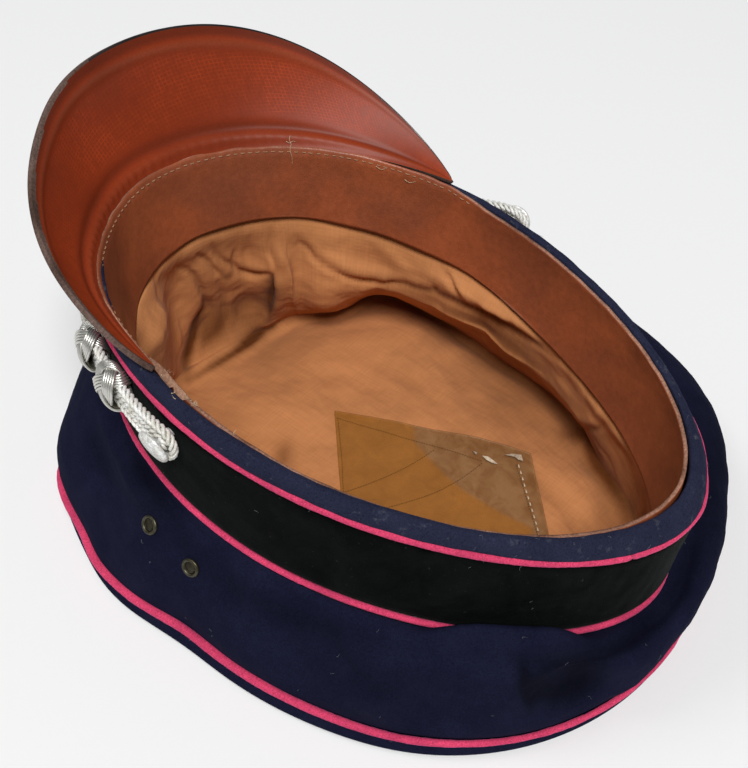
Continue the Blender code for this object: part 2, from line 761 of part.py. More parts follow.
def make_sweat_shield():
    """Clear rhomboid sewn over the tip of the lining."""
    along = Vector((cos(radians(SHIELD_TURN)), sin(radians(SHIELD_TURN))))
    across = Vector((cos(radians(SHIELD_TURN - 90 + SHIELD_LEAN)),
                     sin(radians(SHIELD_TURN - 90 + SHIELD_LEAN))))
    steps = 4
    bm = bmesh.new()
    grid = []
    for row in range(steps + 1):
        line = []
        for column in range(steps + 1):
            plan = (Vector(SHIELD_CORNER) + along * SHIELD_LENGTH * column / steps
                    + across * SHIELD_WIDTH * row / steps)
            height = tip_height(plan) + CLEARANCE
            line.append(bm.verts.new((plan.x, plan.y, height)))
        grid.append(line)
    for row in range(steps):
        for column in range(steps):
            bm.faces.new((grid[row][column], grid[row][column + 1],
                          grid[row + 1][column + 1], grid[row + 1][column]))
    face_out(bm)
    if bm.faces[0].normal.z < 0:
        bmesh.ops.reverse_faces(bm, faces=bm.faces[:])
    item = build_object("sweat_shield", bm, "clear_celluloid", 60.0)
    thicken(item, SHIELD_WALL, 1)
    return item


def peak_point(across, depth):
    """Underside of the peak: across -1 to 1 from the wearer's left, depth 0 root to 1 edge."""
    middle = (PEAK_FAR_TURN + PEAK_NEAR_TURN) / 2
    half = (PEAK_NEAR_TURN - PEAK_FAR_TURN) / 2
    turn = middle + half * across
    slope = radians(PEAK_SLOPE + (PEAK_HORN_SLOPE - PEAK_SLOPE) * across ** 2
                    + PEAK_SLOPE_TWIST * across)
    root = rim_point(turn, binding_top() + 2 * CLEARANCE + PEAK_WALL * cos(slope),
                     sweatband_offset() + 2 * CLEARANCE)
    normal = oval_normal(turn)
    heading = (normal * (1 - PEAK_FORWARD) + Vector((0.0, -1.0)) * PEAK_FORWARD).normalized()
    fall = max(1 - abs(across) ** (PEAK_FALL + PEAK_FALL_SKEW * across), 0.0) ** PEAK_ROUND
    length = HORN_TIP + (PEAK_DEPTH * (1 + PEAK_SKEW * across) - HORN_TIP) * fall
    run = length * cos(slope) * depth
    rise = length * sin(slope) * depth
    bow = PEAK_BOW * 4 * depth * (1 - depth) * fall
    bead = PEAK_BEAD * soft_bump(depth - PEAK_BEAD_PLACE, PEAK_BEAD_SPREAD) * fall
    plan = root.to_2d() + heading * (run + (bow - bead) * sin(slope))
    lift = rim_lift(plan) - rim_lift(root.to_2d())
    return Vector((plan.x, plan.y, root.z + rise + lift - (bow - bead) * cos(slope)))


def make_peak():
    """Stiff peak, reddish below, with a pressed bead along its edge."""
    columns = 32
    depths = (0.0, 0.25, 0.50, 0.75, PEAK_BEAD_PLACE, (1 + PEAK_BEAD_PLACE) / 2, 1.0)
    bm = bmesh.new()
    grid = []
    for column in range(columns + 1):
        across = sin(pi / 2 * (2 * column / columns - 1))
        grid.append([bm.verts.new(peak_point(across, depth)) for depth in depths])
    for one, other in zip(grid, grid[1:]):
        for row in range(len(depths) - 1):
            bm.faces.new((one[row], one[row + 1], other[row + 1], other[row]))
    item = build_object("peak", bm, "red_fibre", 50.0)
    thicken(item, PEAK_WALL, -1)
    return item


def cord_offset():
    """Middle of the chin cord outside the line of the pipings: it leaves room for the slides."""
    return BAND_PROUD + 3 * CLEARANCE + SLIDE_BACK * SLIDE_WALL + CORD_DIAMETER / 2


def cord_height(turn):
    """Height of the middle of the two runs, from the lower piping."""
    share = (CORD_RISE_TURN - turn) / (CORD_RISE_TURN - BUTTON_FAR_TURN)
    share = min(max(share, 0.0), 1.0)
    return CORD_HEIGHT + CORD_FAR_RISE * (3 - 2 * share) * share ** 2


def cord_point(turn, shift=0.0):
    """Point on the cord's surface of travel, shifted towards the rim."""
    height = cord_height(turn) + shift
    return rim_point(turn, height, cord_offset() + band_offset(height))


def cord_frame(turn):
    """Middle of the two runs, with its along, up and out directions."""
    point = cord_point(turn)
    along = (cord_point(turn + 0.5) - point).normalized()
    out = oval_normal(turn).to_3d()
    up = out.cross(along).normalized()
    if up.z < 0:
        up.negate()
    return point, along, up, out


def cord_spread(turn):
    """Half the distance between the two runs: they part to pass round the buttons."""
    loop = BUTTON_SHANK_RADIUS + CLEARANCE + CORD_DIAMETER / 2
    near = max(soft_bump(turn_gap(turn, button), CORD_PART_TURN)
               for button in (BUTTON_NEAR_TURN, BUTTON_FAR_TURN))
    return CORD_SPACING / 2 + (loop - CORD_SPACING / 2) * near


def cord_path():
    """Closed path of the chin cord: along the front, round one button, back, round the other."""
    runs = 30
    bend = 8
    points = []
    for side, first, last in ((1, BUTTON_FAR_TURN, BUTTON_NEAR_TURN),
                              (-1, BUTTON_NEAR_TURN, BUTTON_FAR_TURN)):
        for step in range(runs):
            turn = first + (last - first) * (step + 0.5) / runs
            points.append(cord_point(turn, side * cord_spread(turn)))
        centre, along, up, _ = cord_frame(last)
        reach = cord_spread(last)
        for step in range(bend + 1):
            angle = pi * step / bend
            points.append(centre + up * side * reach * cos(angle)
                          + along * side * reach * sin(angle))
    return points


def make_chin_cord():
    """Silver chin cord, one closed loop held by the two side buttons."""
    path = cord_path()
    count = len(path)
    sides = 5
    bm = bmesh.new()
    rings = []
    for index, point in enumerate(path):
        along = (path[(index + 1) % count] - path[index - 1]).normalized()
        turn = degrees(atan2(point.y, point.x))
        out = Vector((cos(radians(turn)), sin(radians(turn)), 0.0))
        across = along.cross(out).normalized()
        out = across.cross(along).normalized()
        rings.append([point + (out * cos(angle) + across * sin(angle)) * CORD_DIAMETER / 2
                      for angle in [2 * pi * side / sides for side in range(sides)]])
    skin_rings(bm, rings, close_rows=True)
    face_out(bm)
    return build_object("chin_cord", bm, "silver_cord")


def make_slide(name, turn):
    """Knotted slide: a short barrel with a slot that both runs of the cord pass through."""
    point, along, up, out = cord_frame(turn)
    hole = (CORD_DIAMETER / 2 + CLEARANCE) / cos(pi / SLIDE_SIDES)
    bm = bmesh.new()
    rings = []
    for share, thick in SLIDE_ROWS:
        wall = thick * SLIDE_WALL
        ring = []
        for side in range(SLIDE_SIDES):
            angle = 2 * pi * (side + 0.5) / SLIDE_SIDES
            shift = CORD_SPACING / 2 if sin(angle) > 0 else -CORD_SPACING / 2
            back = SLIDE_BACK if cos(angle) < 0 else 1.0
            ring.append(point + along * share * SLIDE_LENGTH
                        + up * ((hole + wall) * sin(angle) + shift)
                        + out * (hole + wall * back) * cos(angle))
        rings.append(ring)
    skin_rings(bm, rings, close_rows=True)
    face_out(bm)
    return build_object(name, bm, "silver_cord")


def make_button(name, turn):
    """Domed button on its shank, at the end of the chin cord."""
    point, along, up, out = cord_frame(turn)
    foot = -(cord_offset() - BAND_PROUD) + CLEARANCE
    head = CORD_DIAMETER / 2 + CLEARANCE
    profile = [(BUTTON_SHANK_RADIUS, foot), (BUTTON_SHANK_RADIUS, head)]
    profile += [(reach * BUTTON_RADIUS, head + height * BUTTON_DOME)
                for reach, height in BUTTON_ROWS]
    sides = 12
    bm = bmesh.new()
    rings = [[point + out * height + (along * cos(angle) + up * sin(angle)) * radius
              for angle in [2 * pi * side / sides for side in range(sides)]]
             for radius, height in profile]
    loops = skin_rings(bm, rings)
    top = bm.verts.new(point + out * (head + BUTTON_DOME))
    for index in range(sides):
        bm.faces.new((loops[-1][index], loops[-1][(index + 1) % sides], top))
    bm.faces.new(loops[0])
    face_out(bm)
    return build_object(name, bm, "silver_button")


def vent_frame(turn, place):
    """Middle of a vent on the face of the crown side, and directions along, up and out."""
    at = crown_side_turn(turn)
    middle = side_point(at, place)
    along = (side_point(at + 1.0, place) - side_point(at - 1.0, place)).normalized()
    down = (side_point(at, place + 0.04) - side_point(at, place - 0.04)).normalized()
    out = down.cross(along).normalized()
    if out.dot(Vector((cos(radians(turn)), sin(radians(turn)), 0.3))) < 0:
        out.negate()
    return middle, along, out.cross(along).normalized(), out


def turned_piece(bm, frame, profile, sides, closed):
    """Turn a profile of (radius, height) points about a vent's axis."""
    middle, along, up, out = frame
    rings = [[middle + out * height + (along * cos(angle) + up * sin(angle)) * radius
              for angle in [2 * pi * side / sides for side in range(sides)]]
             for radius, height in profile]
    return skin_rings(bm, rings, close_rows=closed)


def make_vent_cutter(name, turn, place):
    """Guide that cuts a vent's hole in the crown side."""
    radius = VENT_BARREL_RADIUS + CLEARANCE
    deep = 2.5 * CROWN_WALL
    bm = bmesh.new()
    loops = turned_piece(bm, vent_frame(turn, place), ((radius, -deep), (radius, deep)), 8, False)
    bm.faces.new(loops[0])
    bm.faces.new(loops[-1])
    face_out(bm)
    cutter = build_object(name + "_cutter", bm, "navy_wool")
    cutter.display_type = "WIRE"
    cutter.hide_render = True
    return cutter


def make_vent(name, turn, place):
    """Metal ring of a vent: a flange on the cloth and a barrel through it."""
    lift = CLEARANCE + VENT_LIFT
    brow = (VENT_HOLE_RADIUS + 3 * VENT_RADIUS) / 4
    profile = (
        (VENT_HOLE_RADIUS, -CROWN_WALL), (VENT_BARREL_RADIUS, -CROWN_WALL),
        (VENT_BARREL_RADIUS, lift), (VENT_RADIUS, lift), (brow, lift + VENT_FLANGE),
        (VENT_HOLE_RADIUS, lift + VENT_FLANGE / 2),
    )
    bm = bmesh.new()
    turned_piece(bm, vent_frame(turn, place), profile, 10, True)
    face_out(bm)
    return build_object(name, bm, "aged_metal")


def main():
    """Build the cap."""
    clear_scene()
    make_crown_top()
    make_crown_piping()
    make_crown_side()
    for name, turn, place in VENT_ROWS:
        make_vent(name, turn, place)
    make_band()
    make_band_pipings()
    make_rim_binding()
    make_sweatband()
    make_lining_side()
    make_lining_tip()
    make_sweat_shield()
    make_peak()
    make_chin_cord()
    for side, slide_turns in (("right", SLIDE_NEAR_TURNS), ("left", SLIDE_FAR_TURNS)):
        for place, turn in zip(("front", "rear") if side == "right" else ("rear", "front"),
                               slide_turns):
            make_slide("cord_slide_" + side + "_" + place, turn)
    make_button("button_right", BUTTON_NEAR_TURN)
    make_button("button_left", BUTTON_FAR_TURN)


main()
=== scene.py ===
"""Peaked cap lying upside down on its crown: the cloth, leather, cord and metal around the
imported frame. Metres, +Z up. The peak points to -Y and the wearer's right side is +X.
"Lower" and "upper" are as worn, so the lower piping is the one by the head opening.
A turn is an angle in degrees seen from above, from +X towards +Y."""

import json
from math import radians

import bpy
import numpy as np
from bpy.props import FloatProperty, FloatVectorProperty, IntProperty, PointerProperty
from mathutils import Matrix, Vector
from mathutils.bvhtree import BVHTree

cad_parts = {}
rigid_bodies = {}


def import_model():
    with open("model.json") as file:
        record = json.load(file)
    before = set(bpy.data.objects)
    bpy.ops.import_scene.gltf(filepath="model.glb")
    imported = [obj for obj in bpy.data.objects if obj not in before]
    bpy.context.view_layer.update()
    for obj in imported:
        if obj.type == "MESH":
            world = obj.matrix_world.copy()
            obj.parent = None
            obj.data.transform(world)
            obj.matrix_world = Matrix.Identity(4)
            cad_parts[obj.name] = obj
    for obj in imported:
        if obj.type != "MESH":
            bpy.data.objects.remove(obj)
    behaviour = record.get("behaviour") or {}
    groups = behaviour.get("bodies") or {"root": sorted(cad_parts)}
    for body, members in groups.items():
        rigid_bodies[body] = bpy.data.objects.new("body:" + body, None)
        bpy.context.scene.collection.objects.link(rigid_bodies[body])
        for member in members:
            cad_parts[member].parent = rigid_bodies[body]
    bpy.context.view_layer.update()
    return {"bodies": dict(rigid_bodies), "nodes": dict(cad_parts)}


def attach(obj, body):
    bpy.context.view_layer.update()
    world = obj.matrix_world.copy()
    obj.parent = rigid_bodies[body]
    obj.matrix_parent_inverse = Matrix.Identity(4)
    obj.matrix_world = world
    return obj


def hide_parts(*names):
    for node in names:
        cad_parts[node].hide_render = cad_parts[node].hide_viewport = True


bl_info = {
    "name": "Peaked Cap",
    "version": (1, 0, 0),
    "blender": (4, 5, 0),
    "location": "View3D > Sidebar > Cap",
    "description": "Builds the cloth, leather, cord and metal of a peaked cap",
    "category": "Object",
}

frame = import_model()
BODY = next(iter(frame["bodies"]))
MERGE = 0.00001              # points closer than this are one point
WAVE_COUNT = 7               # sine waves in one uneven surface

# The photograph's frame and the camera fitted to it
PHOTO_SIZE = (748, 768)
CAMERA_PLACE = (0.2461, 0.1588, 0.3748)
CAMERA_RIGHT = (-0.6041, 0.7937, 0.0718)
CAMERA_UP = (-0.5545, -0.4834, 0.6774)
CAMERA_BACK = (0.5723, 0.3694, 0.7321)
FOCAL_PIXELS = 1171.27
CENTRE_PIXELS = (394.32, 410.78)
SENSOR = 36.0

# The forms of the cap, as in its solids: head opening and band
OPENING_LENGTH = 0.226
OPENING_WIDTH = 0.158
OPENING_EGG = -0.09
OVAL_POWER = 1.05
BAND_TURN = 9.0
RIM_HEIGHT = 0.095
RIM_PITCH = 8.2
RIM_ROLL = 2.0
RIM_WAVE = 0.0015
RIM_FRONT_DIP = 0.0022
RIM_WAVE_LOSS = 0.70
BAND_HEIGHT = 0.0443
BAND_WALL = 0.0026
BAND_TAPER = 0.0020
BAND_PROUD = 0.0004
PIPING_RADIUS = 0.0014
CLEARANCE = 0.0003
BINDING_HEIGHT = 0.0062
BINDING_WALL = 0.0040
BINDING_PROUD = 0.0002
SWEATBAND_DEPTH = 0.040
SWEATBAND_WALL = 0.0013
SWEATBAND_RISE = 0.0016
SWEATBAND_SINK = 0.0010
SWEATBAND_LEAN = 0.0045
SWEATBAND_SHALLOW = 0.0115
SWEATBAND_SHALLOW_TURN = 228.0
RAW_EDGE_OVER = 0.0009       # the cut edge stands over the root of the peak
RAW_EDGE_IN = 0.0006         # and lies further in elsewhere
# Local changes of form: turn, half width, and an amount in metres or as a share
ROLL_LEANS = ((92.0, 42.0, 0.0036), (160.0, 32.0, 0.0014))
NEAR_SWELLS = ((307.0, 12.0, 0.0026),)
NEAR_SINKS = ((25.0, 38.0, 0.0026),)
FREE_EDGE_RISES = ((175.0, 34.0, 0.0036),)
LOW_BENDS = ((178.0, 36.0, 0.36),)
TIP_CURLS = ((186.0, 34.0, 1.3),)

# Crown and lining
CROWN_CENTRE = (-0.015, 0.0)
CROWN_REACH = 0.120
EDGE_HEIGHT = 0.0080
EDGE_PIPING_RADIUS = 0.0017
CROWN_COLUMN_TURN = 30.0     # columns of cloth stand closer near this turn
SIDE_PUFF = 0.0200
SIDE_FOLD = 0.0060
SEAM_DROP = 1.30
SEAM_IN = 0.40
SEAM_UP = 0.95
FOLD_SLANT = 35.0
FOLD_FADE = 5.0
LINING_WALL = 0.0012
CREASE_HEIGHT = 0.0165       # crease between the side of the lining and its tip
LINING_LOBE = 0.0160
LINING_TUCK = 0.0060
LINING_NECK = 0.0030
LINING_BEND = 0.60
NECK_PLACE = 0.35
LOBE_START = 0.12
LOBE_FADE = 6.0
LOBE_AT_CREASE = 0.12
POCKET_GAP = 0.0006
TIP_MIDDLE = 0.0300          # height of the middle of the tip
TIP_FULLNESS = 3.2           # above 2 the tip keeps its height nearly to its crease
SHIELD_LENGTH = 0.082
SHIELD_WIDTH = 0.070
SHIELD_LEAN = 17.0
SHIELD_TURN = 115.6
SHIELD_CORNER = (-0.008, -0.035)
SHIELD_LIFT = 0.0005
ABOVE_TIP = 0.08             # a height clear of the lining's tip, to look down from

# Peak
PEAK_DEPTH = 0.0430
PEAK_WALL = 0.0018
PEAK_FAR_TURN = 191.2
PEAK_NEAR_TURN = 331.0
PEAK_SLOPE = 66.0
PEAK_HORN_SLOPE = 21.8
PEAK_SLOPE_TWIST = 3.1
PEAK_FORWARD = 0.47
PEAK_SKEW = -0.12
PEAK_FALL = 2.28
PEAK_FALL_SKEW = -0.25
PEAK_ROUND = 0.76
PEAK_BOW = 0.0030
PEAK_TUCK = 0.045            # the share of its depth that it reaches down behind the leather
HORN_TIP = 0.0012
HORN_FADE = 9.0
PEAK_MIDDLE = (PEAK_FAR_TURN + PEAK_NEAR_TURN) / 2
PEAK_HALF = (PEAK_NEAR_TURN - PEAK_FAR_TURN) / 2

# Chin cord, slides, buttons and vents
CORD_DIAMETER = 0.0046
CORD_SPACING = 0.0066
CORD_HEIGHT = -0.0085
CORD_FAR_RISE = 0.0072
CORD_RISE_TURN = 194.0
CORD_PART_TURN = 3.5
SLIDE_WALL = 0.0028
SLIDE_BACK = 0.45
SLIDE_LENGTH = 0.0120
BUTTON_RADIUS = 0.0063
BUTTON_DOME = 0.0024
SHANK_RADIUS = 0.0016
BUTTON_TILT = (0.0, 0.0, -0.25)
BUTTON_NEAR_TURN = 337.2
BUTTON_FAR_TURN = 177.5
SLIDE_TURNS = (("cord_slide_right_front", 313.7), ("cord_slide_right_rear", 323.4),
               ("cord_slide_left_rear", 199.0), ("cord_slide_left_front", 207.0))
VENT_RADIUS = 0.0036

# Relief of the peak by its depth, and its painted highlight and shade: depth, half width, amount
PEAK_RELIEF = ((0.860, 0.050, 0.00055), (0.150, 0.045, -0.0009), (0.070, 0.045, 0.0009))
PEAK_PAINTED_LIGHT = ((0.855, 0.028, 0.22), (0.080, 0.040, 0.10), (0.150, 0.035, -0.14))
PUCKER_PITCH = 0.0030
PUCKER_HEIGHT = 0.00032

# Lining: random gathers, and how it fills out just below the leather
GATHERS = 46
GATHER_DEPTH = 0.0008
BULGE = 0.0036
BULGE_PLACE = 0.14
TIP_CURL = 0.0052            # the tip's edge turns up at its crease
TIP_REACH = 1.035

# Walls of cloth, film and scraps
CROWN_CLOTH = 0.0016
VELVET_WALL = 0.0022
LINING_CLOTH = 0.0008
FILM_WALL = 0.0004
SCRAP_WALL = 0.0003
CORE_WALL = 0.0004
SCRAP_LIFT = 0.0006
DEPTH_STEP = 0.0015          # neighbouring corners of a scrap differ by no more in distance

# Threads, strands and wires
SEAM_RADIUS = 0.00014        # dark seams of the shield
SEAM_STEP = 2.6              # pixels from stitch to stitch along them
DRY_RADIUS = 0.00032         # pale dry stitches of the shield
TUFT_RADIUS = 0.00012
LINT_RADIUS = 0.00005
FIBRE_STEP = 0.00035         # a loose fibre bends after each such step
CORD_TWIST = 0.0068          # length of one turn of the strands
CORD_STEP = 0.0008
RUN_SHIFT = 0.0018           # each run is two cords, this far off its middle line
STRAND_ACROSS = 0.00078
STRAND_OUT = 0.00110
KNOT_LEADS = 3
KNOT_BIGHTS = 4
KNOT_LANES = 5
KNOT_PITCH = 0.00088         # from lane to lane
KNOT_REACH = 0.0055          # way along a strand for one radian about the cord
KNOT_RADIUS = 0.00050
KNOT_LIFT = 0.00055          # how far strands rise where they cross
GAUZE_PITCH = 0.00042
GAUZE_RADIUS = 0.00010
GAUZE_WIRES = 4              # wires on each side of the middle one

VENT_ROWS = (
    # name, turn about the crown, place between band and edge
    ("vent_right_front", 339.0, 0.34),
    ("vent_right_rear", 349.5, 0.42),
    ("vent_left_rear", 168.0, 0.60),
    ("vent_left_front", 182.0, 0.60),
)

# Crown outline: turn, reach and height of the piping as shares
CROWN_EDGE_ROWS = (
    (3, 0.913, 1.00), (20, 0.925, 1.00), (40, 0.970, 1.00), (60, 1.006, 1.00),
    (85, 1.018, 1.00), (110, 1.005, 1.00), (130, 1.030, 1.05), (150, 1.055, 1.20),
    (170, 1.000, 1.35), (190, 0.945, 1.35), (210, 0.958, 1.30), (230, 1.000, 1.20),
    (250, 1.040, 1.10), (268, 1.035, 1.05), (285, 1.055, 1.00), (300, 1.115, 1.00),
    (310, 1.150, 1.00), (323, 1.075, 1.00), (330, 1.050, 0.95), (338, 1.004, 1.00),
    (350, 0.925, 1.00),
)

# Crown side: turn, then how the cloth leaves the band (out, up) and meets the edge (out, up)
SIDE_ROWS = (
    (0, 0.30, -0.20, 0.05, 0.60), (35, 0.55, 0.10, 0.10, 0.75), (55, 0.80, 0.70, 0.20, 0.85),
    (85, 0.80, 0.35, 0.30, 0.95), (112, 0.90, 0.35, 0.70, 1.15), (150, 1.00, 0.50, 1.35, 1.35),
    (200, 0.90, 0.20, 0.35, 1.00), (240, 0.60, 0.00, 0.20, 0.90), (275, 0.45, -0.15, 0.25, 0.95),
    (303, 0.55, -0.15, 0.35, 1.10), (335, 0.30, -0.30, 0.00, 0.60),
)

# Broad folds of the crown side: turn, half width, place, spread, depth as a share
BROAD_FOLD_ROWS = (
    (322, 5, 0.35, 0.35, -0.55), (331, 6, 0.80, 0.25, -0.45), (342, 8, 0.55, 0.30, 0.35),
    (4, 7, 0.70, 0.30, 0.40), (16, 6, 0.60, 0.35, -0.60), (30, 7, 0.65, 0.30, 0.45),
    (42, 6, 0.70, 0.25, -0.70), (60, 12, 0.30, 0.22, 0.60), (64, 8, 0.70, 0.22, -0.90),
    (92, 12, 0.40, 0.30, 0.10), (150, 10, 0.50, 0.35, -0.50), (176, 12, 0.50, 0.35, 0.50),
    (205, 9, 0.55, 0.35, -0.55), (232, 11, 0.50, 0.35, 0.40), (262, 8, 0.60, 0.30, -0.45),
    (290, 9, 0.50, 0.35, 0.35),
)

# Crease of the lining: turn on the band's oval and reach beyond it in metres
CREASE_ROWS = (
    (0, 0.0080), (60, 0.0030), (100, -0.0060), (118, -0.0080), (131, -0.0040), (141, -0.0020),
    (148, 0.0038), (154, 0.0075), (161, 0.0093), (174, 0.0095), (182, 0.0126), (188, 0.0165),
    (193, 0.0214), (198, 0.0262), (203, 0.0296), (206, 0.0288), (209, 0.0240), (212, 0.0160),
    (215, 0.0105), (219, 0.0078), (223, 0.0064), (227, 0.0036), (231, -0.0008),
    (236, -0.0060), (241, -0.0100), (247, -0.0125), (256, -0.0142), (264, -0.0141),
    (275, -0.0110), (290, -0.0060), (320, 0.0040),
)

# Gathered lobes of the lining: turn, half width, place, spread, depth as a share
LOBE_ROWS = (
    (286, 14, 0.50, 0.40, 0.80), (262, 4, 0.62, 0.30, -0.25), (248, 7, 0.28, 0.22, 0.20),
    (232, 3.5, 0.50, 0.40, 0.50),
    (219, 7, 0.50, 0.28, 0.66), (201, 8, 0.28, 0.18, 0.34), (185, 7, 0.28, 0.17, 0.32),
    (170, 7, 0.28, 0.17, 0.30), (150, 9, 0.33, 0.22, 0.20), (322, 10, 0.50, 0.30, 0.40),
)

# Section of the rolled edge: height as a share of BINDING_HEIGHT, and how far in as a share
# of BINDING_WALL
ROLL_ROWS = ((0.00, 0.00), (0.30, -0.10), (0.62, -0.04), (0.88, 0.14), (1.00, 0.42),
             (0.99, 0.72), (0.90, 0.98), (0.45, 1.00), (0.00, 1.00), (-0.02, 0.50))

# Folds traced where the photograph shows them. Each row: half width in pixels, height out of
# the cloth in millimetres, and the pixels along it
CROWN_FOLDS = (
    (8, 2.4, (101, 405), (118, 440), (131, 469), (146, 496), (163, 516)),
    (9, -2.2, (88, 425), (94, 450), (102, 480), (120, 500)),
    (8, -2.2, (131, 438), (146, 470), (168, 500), (198, 534)),
    (5, 0.9, (147, 536), (132, 548), (118, 559), (104, 561)),
    (6, -0.9, (163, 531), (150, 556), (140, 570)),
    (6, -0.7, (152, 568), (170, 578), (186, 582)),
    (9, -1.2, (262, 571), (285, 598), (320, 615)),
    (11, -1.6, (318, 630), (330, 650), (352, 676), (372, 692)),
    (12, -1.2, (398, 660), (412, 690), (420, 715)),
    (10, -1.9, (530, 657), (556, 661), (588, 656), (613, 648), (645, 622),
     (675, 590), (690, 545), (697, 480), (694, 422), (681, 378)),
    (7, 1.2, (560, 648), (600, 640), (640, 610), (668, 578), (682, 535), (686, 480)),
    (18, -4.4, (542, 694), (572, 690), (604, 672)),
    (16, 1.6, (560, 700), (612, 682), (660, 640)),
)
# Cloth that swells up over the upper piping: turn, half width and height
CROWN_SWELL = (53.5, 13.5, 0.0135)
# Painted shade, dark in the crown's hollows: half width in pixels, strength, pixels along it
CROWN_PAINTED_SHADE = (
    (17, 0.95, (536, 690), (566, 687), (600, 670)),
    (13, 0.60, (530, 684), (550, 690)),
    (6, 0.90, (523, 662), (526, 686), (530, 710)),
    (9, 0.45, (88, 422), (96, 450), (110, 482)),
    (7, 0.55, (128, 434), (140, 462), (158, 490), (178, 514)),
    (10, 0.60, (512, 660), (560, 663), (610, 652), (648, 622), (676, 590), (692, 550)),
    (26, 0.50, (700, 395), (712, 450), (706, 520), (690, 580)),
    (30, 0.30, (300, 640), (380, 690), (470, 715)),
    (12, 0.40, (185, 545), (240, 590), (300, 618), (380, 640)),
    (14, 0.45, (120, 450), (150, 500), (190, 545)),
)
LINING_FOLDS = (
    (20, 4.5, (148, 305), (160, 335), (166, 362)),
    (12, -4.0, (215, 298), (213, 325), (205, 352)),
    (14, -4.5, (238, 298), (252, 315), (260, 325)),
    (10, 3.0, (283, 240), (285, 275), (292, 306)),
    (22, 3.0, (335, 245), (347, 273), (338, 295)),
    (12, 2.5, (402, 266), (450, 289), (502, 314)),
    (14, -2.5, (444, 306), (490, 332), (540, 368)),
    (3.0, -2.4, (173, 265), (190, 272), (200, 287), (209, 307), (210, 312), (204, 318)),
    (6.0, -2.6, (210, 314), (199, 324), (193, 338), (188, 358), (186, 380)),
    (2.3, -2.2, (194, 252), (207, 260), (217, 273), (221, 276)),
    (2.3, -2.2, (210, 243), (218, 256), (231, 266), (235, 270)),
    (3.0, 0.9, (203, 252), (214, 264), (222, 271)),
    (2.4, -2.2, (234, 252), (235, 265), (241, 272), (255, 276), (269, 275)),
    (3.0, 0.8, (240, 262), (255, 268), (266, 270)),
    (3.4, -2.2, (271, 224), (270, 250), (273, 259), (277, 273), (270, 284), (274, 301),
     (279, 324)),
    (2.6, -1.4, (281, 263), (288, 293), (295, 312), (300, 318)),
    (3.6, 1.2, (276, 246), (284, 275), (291, 303)),
    (6.5, -2.8, (266, 280), (268, 300), (273, 322)),
    (5.0, -2.4, (436, 293), (464, 304), (493, 317), (518, 330), (545, 344), (562, 354)),
    (8.0, 2.0, (436, 276), (470, 288), (505, 306), (540, 330)),
    (5.0, 1.6, (284, 262), (290, 290), (297, 310)),
    (4.0, -1.6, (221, 284), (226, 302), (228, 320), (222, 336)),
    (2.4, -1.0, (196, 345), (206, 330), (214, 322)),
    (2.6, -2.6, (298, 240), (307, 246), (316, 260), (333, 270), (353, 276), (381, 283),
     (403, 284), (429, 290), (436, 288)),
    (5.0, 1.4, (306, 236), (320, 250), (338, 261), (360, 268), (390, 275), (425, 281)),
    (6.0, 0.9, (364, 225), (389, 250), (415, 281)),
    (2.2, -1.4, (434, 284), (437, 292)),
    (2.6, -2.8, (444, 263), (454, 278), (464, 298)),
    (4.0, 0.9, (450, 262), (461, 279), (472, 300)),
    (2.4, -1.1, (514, 302), (517, 324)),
    (5.0, 1.1, (470, 296), (500, 308), (530, 330)),
    (4.5, 1.8, (300, 309), (338, 304), (358, 292), (384, 281)),
    (5.0, 1.8, (196, 366), (214, 357), (240, 342), (268, 324)),
    (2.8, -2.6, (589, 376), (595, 386), (603, 399)),
    (2.6, -1.6, (565, 430), (580, 430), (597, 428), (611, 420)),
    (4.0, 1.0, (572, 418), (590, 420), (606, 408)),
    (7.0, -2.2, (588, 441), (594, 458), (602, 478), (614, 494), (625, 508)),
    (2.8, -2.4, (650, 478), (648, 495), (645, 511), (636, 521), (628, 530), (625, 538)),
    (2.4, -1.3, (631, 470), (636, 497), (634, 515)),
    (3.0, 0.9, (640, 470), (641, 495), (638, 512)),
    (2.2, -0.9, (618, 440), (628, 455), (633, 470)),
    (3.0, -0.9, (155, 330), (165, 345), (172, 362)),
)
TIP_FOLDS = (
    (9, -1.1, (360, 345), (385, 365), (410, 380), (436, 402), (455, 430)),
    (8, -0.8, (318, 372), (350, 378), (375, 388), (400, 396)),
    (7, -0.9, (437, 358), (455, 372), (468, 392), (478, 412)),
    (9, -1.6, (523, 462), (546, 489), (574, 516), (583, 538)),
    (10, 1.0, (545, 465), (575, 492), (600, 520)),
    (8, -1.2, (270, 435), (284, 446), (290, 460)),
    (10, 0.9, (230, 395), (262, 405), (300, 408)),
    (7, -0.8, (487, 380), (510, 400), (536, 420), (565, 432)),
    (6, -0.7, (330, 395), (352, 408), (366, 424)),
)
